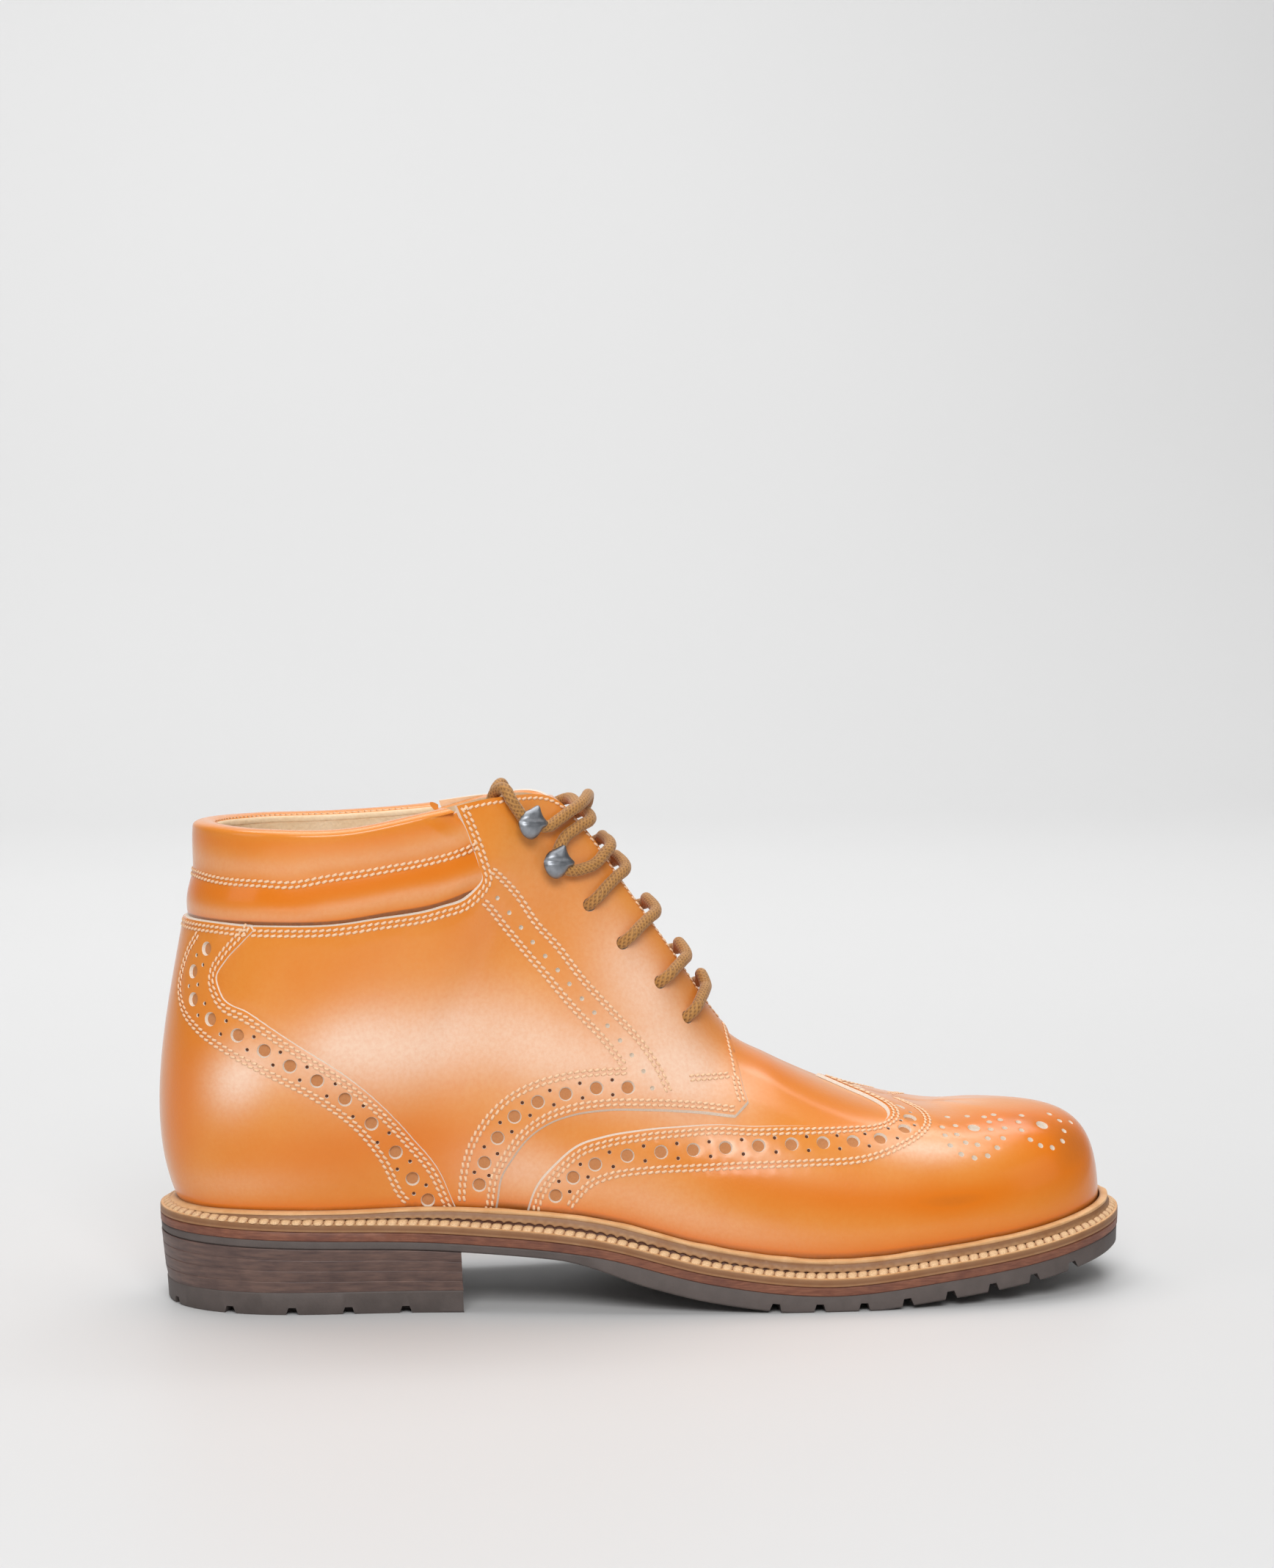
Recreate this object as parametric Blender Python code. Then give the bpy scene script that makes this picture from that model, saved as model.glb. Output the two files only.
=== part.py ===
"""A right brogue derby boot, built the way it is made: sole layers, a lasted upper, its overlays and laces.

Frame: +X to the toe, +Y to the inner (medial) side, +Z up, the floor at z = 0. Sizes below are in
millimetres and are turned to metres when a mesh is made. The upper's surface is one function, skin(),
made of profiles that climb from the feather line (where it meets the welt) to the top line.
"""
import math

import bmesh
import bpy
import numpy as np
from mathutils import Matrix, Vector

for old in list(bpy.data.objects):
    bpy.data.objects.remove(old)

MM = 0.001

# Driving sizes
TOE_X = 154.0
HEEL_X = -154.0
GAP = 0.3
WELT = 2.5
MIDSOLE = 2.7
RUBBER_FORE = 5.4
RUBBER_WAIST = 2.3
LUG_DEPTH = 2.6
NOTCH = 3.0
BREAST_X = -62.0
TOP_PIECE = 7.0
HEEL_NOTCH_DEPTH = 2.3
LIP_V = 0.075
LIP_THICK = 2.3
OVERLAY = 1.2
BASE_DEPTH = OVERLAY + GAP
WALL = 1.9
COLLAR_PAD = 2.6
THROAT = 87.0
RIDGE_MEDIAL = 3.0
LACE_RADIUS = 1.9
TONGUE_DEPTH = BASE_DEPTH + WALL + 0.6
TONGUE_THICK = 2.0
INSOLE_THICK = 3.2

# Sole plan. The angle runs round the outline, 0 at the toe tip and 180 at the heel; the half-breadth
# is the reach times the sine of the angle.
PLAN = np.array([
    # angle, lateral reach, medial reach
    (0, 86.0, 86.0),
    (30, 73.0, 80.0),
    (60, 59.0, 61.0),
    (90, 48.5, 41.5),
    (120, 43.5, 41.0),
    (150, 61.0, 60.5),
    (180, 74.0, 74.0),
])

# Height of the welt's top along the sole: heel seat, arch, ball and toe spring.
SEAT = np.array([
    # x, z
    (-154, 30.0),
    (-110, 28.8),
    (-60, 27.2),
    (-20, 23.2),
    (15, 14.6),
    (50, 10.5),
    (90, 13.9),
    (122, 17.9),
    (154, 23.6),
])

# How far the welt stands out beyond the upper.
MARGIN = np.array([
    # angle, margin
    (0, 6.6),
    (60, 7.5),
    (120, 7.0),
    (150, 7.0),
    (180, 8.6),
])

# One profile of the upper per row. Each climbs from the feather line with a first handle of the given
# rise and outward flare to an end on the ridge, the facing edge or the collar, with a last handle tuck.
PROFILES = np.array([
    # angle, rise, flare, end_x, end_half, end_z, tuck_x, tuck_out, tuck_z, medial_drop
    (0, 34.0, 0.5, 100, 0.0, 56.4, 41, 0, 0.5, 0),
    (25, 34.0, 1.5, 95, 0.0, 56.2, 30, 22, 0.2, 0),
    (45, 33.0, 2.5, 84, 0.0, 57.2, 14, 33, -2.0, 0),
    (60, 33.0, 3.0, 64, 0.0, 63.2, 4, 36, -1.4, 0),
    (75, 36.0, 3.0, 41, 0.0, 73.5, 0, 34, 0.0, 0),
    (87, 42.0, 4.0, 26, 0.0, 83.0, -2, 26, -3.0, 0),
    (100, 45.0, 5.0, 6, 11.0, 110.5, -4, 15, -8.0, 0),
    (108, 45.0, 6.0, -8, 12.5, 130.0, -5, 15, -10.0, 0),
    (115, 45.0, 7.0, -20, 14.0, 147.0, -6, 14, -14.0, 0),
    (121, 44.0, 8.0, -31, 18.0, 156.5, -4, 12, -22.0, 1),
    (128, 42.0, 8.5, -48, 27.0, 157.0, 0, 8, -30.0, 3.5),
    (136, 40.0, 9.0, -68, 34.0, 155.0, 0, 3, -33.0, 3.5),
    (147, 38.0, 11.0, -95, 36.5, 150.5, 0, 1, -35.0, 0.5),
    (160, 34.0, 14.0, -122, 30.5, 150.0, -1, 1, -35.0, 0),
    (172, 32.5, 18.0, -137.5, 13.5, 150.4, -1.5, 0.5, -35.5, 0),
    (180, 32.5, 19.0, -141, 0.0, 150.5, -1.5, 0, -35.5, 0),
])
ODD_COLUMNS = (4, 7)

# Side-view outlines of the overlays' edges, x and z in millimetres.
WING_EDGE = [
    (-42, 33), (-38, 39), (-33, 46), (-26, 51), (-18, 54), (-8, 55.5), (4, 56.5), (20, 56.5), (42, 55.5),
    (61, 55), (69, 54.6), (74, 55), (76, 56.3), (75, 57.8), (71, 59.4), (65, 62),
    (60, 64.4), (56, 66.6)]
QUARTER_FRONT = [
    (-51, 33), (-49, 42), (-46.5, 47.5), (-42, 54), (-34.5, 58.5), (-28, 61), (-18, 62.5), (-5, 62.3),
    (5, 61.4), (16, 60.2), (24, 59.3), (29, 63), (27.7, 66), (27, 74), (27.2, 80)]
COLLAR_FRONT = [(-62, 156), (-58, 147), (-55.5, 138), (-54.2, 133), (-58.7, 128.7)]
COLLAR_SEAM = [(-67.6, 125.2), (-90, 122.2), (-112, 120.5), (-125, 119.4)]
COUNTER_EDGE = [
    (-128, 115.3), (-133, 109.6), (-136, 105), (-134.7, 99.5), (-126, 94), (-108, 82), (-91, 69.3),
    (-77, 54.6), (-68, 43), (-62.6, 33)]

# Hooks: where the lower and the upper pair sit on the skin, as angle and v.
HOOKS = [(118.1, 0.803), (124.3, 0.90)]
# Lacing: routes from an eyelet or hook up to the facing's edge, as angle and v on the skin.
ROW_1 = [(93.7, 0.76), (93.5, 0.88), (93.2, 1.0)]
ROW_2 = [(99.0, 0.78), (98.3, 0.89), (97.6, 1.0)]
ROW_3 = [(105.3, 0.777), (104.5, 0.88), (103.6, 1.0)]
ROW_4 = [(111.0, 0.783), (110.1, 0.89), (109.2, 1.0)]
LOW_HOOK_DOWN = [(113.6, 0.835), (112.6, 0.90), (112.0, 1.0)]
LOW_HOOK_UP = [(117.8, 0.86), (116.9, 0.93), (115.9, 1.0)]
HIGH_HOOK_DOWN = [(120.2, 0.89), (119.3, 0.945), (118.2, 1.0)]
LACE_ROWS = [
    # name, lateral route, medial route, arch up the gap, arch outward over it
    ("lace_row_1", ROW_1, ROW_1, 3.0, 1.2),
    ("lace_row_2", ROW_2, ROW_2, 3.0, 1.2),
    ("lace_row_3", ROW_3, ROW_3, 3.0, 1.2),
    ("lace_row_4", ROW_4, ROW_4, 3.0, 1.2),
    ("lace_row_5", LOW_HOOK_DOWN, LOW_HOOK_DOWN, 2.0, 1.2),
    ("lace_row_6", LOW_HOOK_UP, HIGH_HOOK_DOWN, 0.0, 1.4),
    ("lace_row_7", HIGH_HOOK_DOWN, LOW_HOOK_UP, 0.0, 7.8),
]
# Lathe profile of a speed hook: radius and height above the leather.
HOOK_PROFILE = [(3.4, 0.0), (3.4, 0.7), (1.7, 1.0), (1.7, 3.6), (4.0, 4.2), (4.0, 5.0), (2.6, 6.4)]
HOOK_SIDES = 8

# Materials: name, red, green, blue, roughness
LOOKS = {
    "tan calf leather": (0.62, 0.27, 0.08, 0.35),
    "lining leather": (0.70, 0.52, 0.36, 0.6),
    "welt leather": (0.45, 0.25, 0.12, 0.6),
    "midsole leather": (0.25, 0.10, 0.06, 0.6),
    "black rubber": (0.06, 0.06, 0.06, 0.8),
    "stacked heel leather": (0.12, 0.07, 0.05, 0.6),
    "cork insole": (0.6, 0.45, 0.3, 0.8),
    "gunmetal": (0.35, 0.36, 0.38, 0.3),
    "braided cotton": (0.35, 0.18, 0.05, 0.8),
}


def collection(name):
    made = bpy.data.collections.new(name)
    bpy.context.scene.collection.children.link(made)
    return made


BOOT = collection("brogue boot")
CUTTERS = collection("cutters")


def look(name):
    """The named Principled material, made on first use."""
    made = bpy.data.materials.get(name)
    if made is None:
        made = bpy.data.materials.new(name)
        made.use_nodes = True
        red, green, blue, rough = LOOKS[name]
        shader = made.node_tree.nodes["Principled BSDF"]
        shader.inputs["Base Color"].default_value = (red, green, blue, 1.0)
        shader.inputs["Roughness"].default_value = rough
    return made


def smooth(x, knots, values):
    """Cubic curve through the knots, with slopes from its neighbours."""
    x = np.asarray(x, float)
    slope = np.gradient(values, knots)
    i = np.clip(np.searchsorted(knots, x) - 1, 0, len(knots) - 2)
    h = knots[i + 1] - knots[i]
    t = (x - knots[i]) / h
    start = (1 + 2 * t) * (1 - t) ** 2 * values[i] + t * (1 - t) ** 2 * h * slope[i]
    stop = t * t * (3 - 2 * t) * values[i + 1] + t * t * (t - 1) * h * slope[i + 1]
    return start + stop


def wrapped(table, odd=()):
    """The table with its rows reflected past both ends, so curves cross toe and heel smoothly."""
    sign = np.ones(table.shape[1])
    sign[list(odd)] = -1
    front = table[2:0:-1] * sign
    front[:, 0] = -table[2:0:-1, 0]
    back = table[-2:-4:-1] * sign
    back[:, 0] = 360 - table[-2:-4:-1, 0]
    return np.vstack([front, table, back])


PLAN_ROWS = wrapped(PLAN)
PLAN_ROWS[:2, 1:] = PLAN_ROWS[:2, [2, 1]]
PLAN_ROWS[-2:, 1:] = PLAN_ROWS[-2:, [2, 1]]
MARGIN_ROWS = wrapped(MARGIN)
PROFILE_ROWS = wrapped(PROFILES, ODD_COLUMNS)


def signed(s):
    """An angle folded into -180 to 180: negative on the lateral side."""
    return (np.asarray(s, float) + 180) % 360 - 180


def seat(x):
    return smooth(x, SEAT[:, 0], SEAT[:, 1])


def margin(s):
    return smooth(np.abs(signed(s)), MARGIN_ROWS[:, 0], MARGIN_ROWS[:, 1])


def plan(s, inset, shift=0.0):
    """Sole outline at an angle, drawn in by the inset."""
    s = signed(s)
    side = np.where(s >= 0, 1.0, -1.0)
    turn = np.radians(np.abs(s))
    x = (TOE_X + HEEL_X) / 2 + ((TOE_X - HEEL_X) / 2 - inset) * np.cos(turn)
    lateral = smooth(np.abs(s), PLAN_ROWS[:, 0], PLAN_ROWS[:, 1])
    medial = smooth(np.abs(s), PLAN_ROWS[:, 0], PLAN_ROWS[:, 2])
    reach = np.where(side < 0, lateral, medial) - inset * (1 + 0.17 * np.cos(turn) ** 2)
    return x, side * reach * np.sin(turn) + shift


ROUND = np.linspace(0, 180, 181)
SHIFT = -(plan(ROUND, 0)[1].max() + plan(-ROUND, 0)[1].min()) / 2


def ridge_y(x):
    """The vamp's ridge leans to the medial side and runs back to the middle at the shaft."""
    t = np.clip((x + 20) / 90, 0, 1)
    return RIDGE_MEDIAL * t * t * (3 - 2 * t)


def skin(s, v):
    """Outermost surface: a cubic profile from the feather line (v = 0) to the top line (v = 1)."""
    s = signed(s)
    v = np.asarray(v, float)
    side = np.where(s >= 0, 1.0, -1.0)
    angle = np.abs(s)
    inset = margin(s)
    x, y = plan(s, inset, SHIFT)
    xa, ya = plan(s - 0.5, inset)
    xb, yb = plan(s + 0.5, inset)
    run = np.hypot(xb - xa, yb - ya)
    out_x = (yb - ya) / run
    out_y = (xa - xb) / run
    rise, flare, end_x, half, end_z, tuck_x, tuck_out, tuck_z, drop = [
        smooth(angle, PROFILE_ROWS[:, 0], PROFILE_ROWS[:, k]) for k in range(1, 10)]
    half = np.where(angle <= THROAT, 0.0, np.maximum(half, 0.0))
    end_z = end_z - np.where(side > 0, np.maximum(drop, 0.0), 0.0)
    p0 = np.stack([x, y, seat(x) - WELT], -1)
    p1 = p0 + np.stack([out_x * flare, out_y * flare, rise], -1)
    p3 = np.stack([end_x, ridge_y(end_x) + side * half, end_z], -1)
    p2 = p3 + np.stack([tuck_x, side * tuck_out, tuck_z], -1)
    t = v[..., None]
    return (1 - t) ** 3 * p0 + 3 * (1 - t) ** 2 * t * p1 + 3 * (1 - t) * t * t * p2 + t ** 3 * p3


def skin_normal(s, v):
    """Outward unit normal of the skin; on the ridge both sides share their mean."""
    s, v = np.broadcast_arrays(np.asarray(s, float), np.asarray(v, float))
    vn = np.clip(v, 0.012, 0.982)
    along = skin(s + 0.6, vn) - skin(s - 0.6, vn)
    up = skin(s, vn + 0.012) - skin(s, vn - 0.012)
    n = np.cross(along, up)
    n /= np.linalg.norm(n, axis=-1, keepdims=True)
    ridge = (v >= 0.999) & (np.abs(signed(s)) <= THROAT)
    if ridge.any():
        mirror_along = skin(0.6 - s, vn) - skin(-0.6 - s, vn)
        mirror_up = skin(-s, vn + 0.012) - skin(-s, vn - 0.012)
        m = np.cross(mirror_along, mirror_up)
        m /= np.linalg.norm(m, axis=-1, keepdims=True)
        m = np.where((m * n).sum(-1, keepdims=True) < 0, -m, m)
        both = n + m
        both /= np.linalg.norm(both, axis=-1, keepdims=True)
        n = np.where(ridge[..., None], both, n)
    return n


def under(s, v, depth):
    """A point the given depth beneath the skin."""
    s, v = np.broadcast_arrays(np.asarray(s, float), np.asarray(v, float))
    depth = np.asarray(depth, float)
    return skin(s, v) - skin_normal(s, v) * depth[..., None]


def add_solid(name, verts, faces, material, home=BOOT):
    """One closed mesh from points in millimetres; points that coincide are joined."""
    mesh = bpy.data.meshes.new(name)
    mesh.from_pydata((np.asarray(verts, float) * MM).tolist(), [], [list(map(int, f)) for f in faces])
    work = bmesh.new()
    work.from_mesh(mesh)
    bmesh.ops.remove_doubles(work, verts=work.verts, dist=2e-6)
    bmesh.ops.recalc_face_normals(work, faces=work.faces)
    work.to_mesh(mesh)
    work.free()
    made = bpy.data.objects.new(name, mesh)
    home.objects.link(made)
    if material:
        mesh.materials.append(look(material))
    return made


def quads(index):
    """Four-sided faces between neighbouring rows and columns of an index grid."""
    return np.stack([index[:-1, :-1], index[1:, :-1], index[1:, 1:], index[:-1, 1:]], -1).reshape(-1, 4)


def split(index):
    """The same faces as triangles, always along the same diagonal, so stacked walls stay parallel."""
    four = quads(index)
    return np.vstack([four[:, [0, 1, 2]], four[:, [0, 2, 3]]])


def sheet_solid(name, outer, inner, material, ring=False, home=BOOT):
    """A solid between two grids of points; ring joins the last row to the first."""
    rows, columns = outer.shape[:2]
    top = np.arange(rows * columns).reshape(rows, columns)
    low = top + rows * columns
    if ring:
        top = np.vstack([top, top[:1]])
        low = np.vstack([low, low[:1]])
    faces = split(top).tolist() + split(low).tolist()
    verts = np.vstack([outer.reshape(-1, 3), inner.reshape(-1, 3)])
    rims = [np.stack([top[:, 0], low[:, 0]], 1), np.stack([top[:, -1], low[:, -1]], 1)]
    if not ring:
        rims.append(np.stack([top[0], low[0]], 1))
        rims.append(np.stack([top[-1], low[-1]], 1))
    for rim in rims:
        faces += [f for f in quads(rim).tolist() if not ridge_face(verts, f)]
    return add_solid(name, verts, faces, material, home)


def ridge_face(verts, face):
    """True for a rim face whose twin on the other side of the closed ridge lies on it."""
    return face_key(verts, face) in CLOSED_RIM


CLOSED_RIM = set()


def face_key(verts, face):
    return tuple(np.round(verts[np.asarray(face)].mean(0), 3))


def on_rows(s_values, v_values, depth):
    """Points beneath the skin, straight between the upper's own rows so that layers stay parallel."""
    s, v = np.meshgrid(s_values, V_ALL, indexing="ij")
    grid = under(s, v, depth(s, v))
    i = np.clip(np.searchsorted(V_ALL, v_values, side="right") - 1, 0, len(V_ALL) - 2)
    t = ((v_values - V_ALL[i]) / (V_ALL[i + 1] - V_ALL[i]))[None, :, None]
    return grid[:, i] * (1 - t) + grid[:, i + 1] * t


def shell(name, s_values, outer_depth, inner_depth, material, v_values, ring=False, home=BOOT):
    """A wall following the skin between two depths; its rim is left out along the closed ridge."""
    s, v = np.meshgrid(s_values, v_values, indexing="ij")
    outer = under(s, v, outer_depth(s, v))
    inner = on_rows(s_values, v_values, inner_depth)
    CLOSED_RIM.clear()
    both_sides = s_values.min() < 0 < s_values.max()
    edge = (np.abs(signed(s_values)) <= THROAT + 1e-6) & both_sides
    for i in range(len(s_values) - (0 if ring else 1)):
        j = (i + 1) % len(s_values)
        if edge[i] and edge[j] and v_values[-1] >= 0.999:
            centre = (outer[i, -1] + inner[i, -1] + outer[j, -1] + inner[j, -1]) / 4
            CLOSED_RIM.add(tuple(np.round(centre, 3)))
    return sheet_solid(name, outer, inner, material, ring, home)


def slab(name, lateral, medial, top, bottom, material, home=BOOT):
    """A layer between two height functions; outline given as lateral and medial points, front to back."""
    count = len(lateral)
    columns = []
    for points, height in ((lateral, bottom), (lateral, top), (medial, top), (medial, bottom)):
        columns.append(np.column_stack([points, height(points[:, 0])]))
    grid = np.stack(columns, 1)
    index = np.arange(count * 4).reshape(count, 4)
    index = np.column_stack([index, index[:, :1]])
    faces = quads(index).tolist()
    faces.append(index[0, :4][::-1].tolist())
    faces.append(index[-1, :4].tolist())
    return add_solid(name, grid.reshape(-1, 3), faces, material, home)


def outline(inset, start=0.0, count=37):
    """Lateral and medial outline points from a start angle back to the heel."""
    angles = np.linspace(start, 180, count)
    lateral = np.column_stack(plan(-angles, inset, SHIFT))
    medial = np.column_stack(plan(angles, inset, SHIFT))
    if start <= 0:
        medial[0] = lateral[0]
    medial[-1] = lateral[-1]
    return lateral, medial


def box(name, centre, size, turn=0.0, pitch=0.0):
    """A cutter block, kept out of the render."""
    mesh = bpy.data.meshes.new(name)
    work = bmesh.new()
    bmesh.ops.create_cube(work, size=1.0)
    spin = Matrix.Rotation(turn, 4, "Z") @ Matrix.Rotation(pitch, 4, "Y")
    stretch = Matrix.Diagonal(Vector(size) * MM).to_4x4()
    bmesh.ops.transform(work, matrix=Matrix.Translation(Vector(centre) * MM) @ spin @ stretch, verts=work.verts)
    work.to_mesh(mesh)
    work.free()
    made = bpy.data.objects.new(name, mesh)
    CUTTERS.objects.link(made)
    hide(made)
    return made


def hide(thing):
    thing.hide_render = True
    thing.display_type = "WIRE"


def joined(name, things):
    """Several cutters that do not touch, as one."""
    work = bmesh.new()
    for thing in things:
        work.from_mesh(thing.data)
        bpy.data.objects.remove(thing)
    mesh = bpy.data.meshes.new(name)
    work.to_mesh(mesh)
    work.free()
    made = bpy.data.objects.new(name, mesh)
    CUTTERS.objects.link(made)
    hide(made)
    return made


def cut(thing, cutter, operation):
    step = thing.modifiers.new(cutter.name, "BOOLEAN")
    step.operation = operation
    step.solver = "EXACT"
    step.object = cutter


def prism(name, points):
    """A block through the whole boot with the given side-view outline."""
    verts = []
    for y in (-90.0, 90.0):
        verts += [(x, y, z) for x, z in points]
    count = len(points)
    ring = np.arange(count)
    after = np.roll(ring, -1)
    faces = np.column_stack([ring, after, after + count, ring + count]).tolist()
    faces.append(ring.tolist())
    faces.append((ring[::-1] + count).tolist())
    made = add_solid(name, verts, faces, None, CUTTERS)
    hide(made)
    return made


def tube(name, points, radius, material):
    """A round cord along points in millimetres, with closed ends."""
    data = bpy.data.curves.new(name, "CURVE")
    data.dimensions = "3D"
    data.bevel_depth = radius * MM
    data.bevel_resolution = 2
    data.use_fill_caps = True
    line = data.splines.new("POLY")
    line.points.add(len(points) - 1)
    for spot, point in zip(line.points, points):
        spot.co = (*(np.asarray(point) * MM), 1.0)
    made = bpy.data.objects.new(name, data)
    BOOT.objects.link(made)
    data.materials.append(look(material))
    return made


# Sole layers, from the floor up
def rubber_bottom(x):
    t = np.clip((np.asarray(x) + 33) / 28, 0, 1)
    thick = RUBBER_WAIST + (RUBBER_FORE - RUBBER_WAIST) * t * t * (3 - 2 * t)
    return np.maximum(seat(x) - WELT - MIDSOLE - 2 * GAP - thick, 0.0)


def midsole_top(x):
    return seat(x) - WELT - GAP


def midsole_bottom(x):
    return seat(x) - WELT - MIDSOLE - GAP


def rubber_top(x):
    return midsole_bottom(x) - GAP


def stack_top(x):
    return rubber_bottom(x) - GAP


def level(z):
    return lambda x: np.full(np.shape(x), z, float)


def breast_angle(inset):
    half = (TOE_X - HEEL_X) / 2 - inset
    return math.degrees(math.acos((BREAST_X - (TOE_X + HEEL_X) / 2) / half))


outsole = slab("outsole", *outline(0.6), rubber_top, rubber_bottom, "black rubber")
slab("midsole", *outline(0.3), midsole_top, midsole_bottom, "midsole leather")
heel_from = breast_angle(0.6)
slab("heel_stack", *outline(0.6, heel_from, 15), stack_top, level(TOP_PIECE + GAP), "stacked heel leather")
top_piece = slab("heel_top_piece", *outline(0.6, heel_from, 15), level(TOP_PIECE), level(0.0), "black rubber")

# Lug slots across the forefoot's edges and notches round the heel's top piece
LUG_FIRST_X = 34.0
LUG_PITCH = 13.9
LUG_COUNT = 8
LUG_REACH = 20.0
blocks = []
for k in range(LUG_COUNT):
    x = LUG_FIRST_X + LUG_PITCH * k
    slope = math.atan(float(rubber_bottom(x + 2) - rubber_bottom(x - 2)) / 4)
    for side in (-1, 1):
        angle = math.degrees(math.acos(x / (TOE_X - 0.6)))
        edge = float(plan(side * angle, 0.6, SHIFT)[1])
        y = edge - side * (LUG_REACH / 2 - 4)
        z = float(rubber_bottom(x)) + LUG_DEPTH - 4
        blocks.append(box("slot", (x, y, z), (NOTCH, LUG_REACH, 8), 0.0, -slope))
cut(outsole, joined("lug slots", blocks), "DIFFERENCE")
blocks = []
for angle in (122.0, 132.0, 143.0, 155.0, 169.0):
    for side in (-1, 1):
        xa, ya = plan(side * angle - 1, 0.6, SHIFT)
        xb, yb = plan(side * angle + 1, 0.6, SHIFT)
        x, y = plan(side * angle, 0.6, SHIFT)
        turn = math.atan2(float(yb - ya), float(xb - xa))
        blocks.append(box("notch", (float(x), float(y), HEEL_NOTCH_DEPTH - 4), (NOTCH, 14, 8), turn))
cut(top_piece, joined("heel notches", blocks), "DIFFERENCE")

# Upper, one hollow wall open at the collar, the throat and underneath
HALF = np.array([
    0, 5, 10, 15, 20, 25, 30, 36, 43, 50, 57, 64, 71, 78, 84, THROAT, 90, 95, 100, 105, 110, 115, 120, 125,
    130, 136, 143, 150, 156, 162, 168, 174, 180])
S_ALL = np.concatenate([-HALF[:0:-1], HALF[:-1]])
V_ALL = np.array([0, 0.07, 0.16, 0.26, 0.37, 0.48, 0.59, 0.70, 0.80, 0.90, 1.0])


def flat_depth(depth):
    return lambda s, v: np.full(s.shape, depth)


def collar_share(s, v):
    """1 in the padded collar's band, 0 below it and in front of it."""
    across = np.clip((np.abs(signed(s)) - 124) / 8, 0, 1)
    upward = np.clip((v - 0.74) / 0.1, 0, 1)
    return across * upward


def wall_inner(s, v):
    return BASE_DEPTH + WALL + COLLAR_PAD * collar_share(s, v)


shell("upper", S_ALL, flat_depth(BASE_DEPTH), wall_inner, "tan calf leather", V_ALL, True)

# Welt: a strip on the midsole with a lip that stands up against the upper
S_RING = S_ALL
outer_x, outer_y = plan(S_RING, 0.3, SHIFT)
lip_inner = under(S_RING, np.full(S_RING.shape, LIP_V), -GAP * np.ones(S_RING.shape))
lip_outer = under(S_RING, np.full(S_RING.shape, LIP_V), -(GAP + LIP_THICK) * np.ones(S_RING.shape))
foot_inner = under(S_RING, np.full(S_RING.shape, 0.0), -GAP * np.ones(S_RING.shape))
foot_outer = under(S_RING, np.full(S_RING.shape, 0.03), -(GAP + LIP_THICK + 0.4) * np.ones(S_RING.shape))
foot_inner[:, 2] = seat(foot_inner[:, 0]) - WELT
foot_outer[:, 2] = seat(foot_outer[:, 0])
welt_loops = np.stack([
    np.column_stack([outer_x, outer_y, seat(outer_x) - WELT]),
    np.column_stack([outer_x, outer_y, seat(outer_x)]),
    foot_outer,
    lip_outer,
    lip_inner,
    foot_inner,
], 1)
index = np.arange(len(S_RING) * 6).reshape(len(S_RING), 6)
index = np.vstack([index, index[:1]])
index = np.column_stack([index, index[:, :1]])
add_solid("welt", welt_loops.reshape(-1, 3), quads(index), "welt leather")

# Insole, inside the upper's foot and on the midsole
angles = HALF
inner_edge = BASE_DEPTH + WALL + 0.6
rows = []
for side in (-1, 1):
    edge = under(side * angles, np.zeros(angles.shape), inner_edge * np.ones(angles.shape))
    rows.append(edge[:, :2])
rows[1][0] = rows[0][0]
rows[1][-1] = rows[0][-1]
slab("insole", rows[0], rows[1],
     lambda x: midsole_top(x) + GAP + INSOLE_THICK,
     lambda x: midsole_top(x) + GAP, "cork insole")

# Tongue, under the facings from the throat to the collar
stations = HALF[(HALF >= 84) & (HALF <= 120)]
reach = np.array([0.66, 0.76, 0.86, 0.94, 1.0])
faces_of_tongue = []
for depth in (TONGUE_DEPTH, TONGUE_DEPTH + TONGUE_THICK):
    s, v = np.meshgrid(stations, reach, indexing="ij")
    lateral = under(-s, v, depth * np.ones(s.shape))
    medial = under(s, v, depth * np.ones(s.shape))[:, ::-1]
    middle = (lateral[:, -1:] + medial[:, :1]) / 2
    bulge = skin_normal(-stations, np.ones(stations.shape)) + skin_normal(stations, np.ones(stations.shape))
    bulge /= np.linalg.norm(bulge, axis=-1, keepdims=True)
    gap = np.linalg.norm(lateral[:, -1] - medial[:, 0], axis=-1)
    middle = middle + (bulge * gap[:, None] * 0.1)[:, None]
    faces_of_tongue.append(np.concatenate([lateral, middle, medial], 1))
CLOSED_RIM.clear()
sheet_solid("tongue", faces_of_tongue[0], faces_of_tongue[1], "tan calf leather")


# Overlays, cut from the upper's own surface by side-view outlines
def overlay(name, outline_points, s_values, v_values=V_ALL, outer=None):
    made = shell(name, s_values, outer or flat_depth(0.0), flat_depth(OVERLAY), "tan calf leather", v_values)
    cut(made, prism(name + " outline", outline_points), "INTERSECT")
    return made


def round_heel(start):
    """Angles from a start on the medial side round the heel to the same place on the lateral side."""
    back = HALF[HALF >= start]
    return np.concatenate([back, 360 - back[-2::-1]])


def moved(points, dx, dz):
    return [(x + dx, z + dz) for x, z in points]


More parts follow.
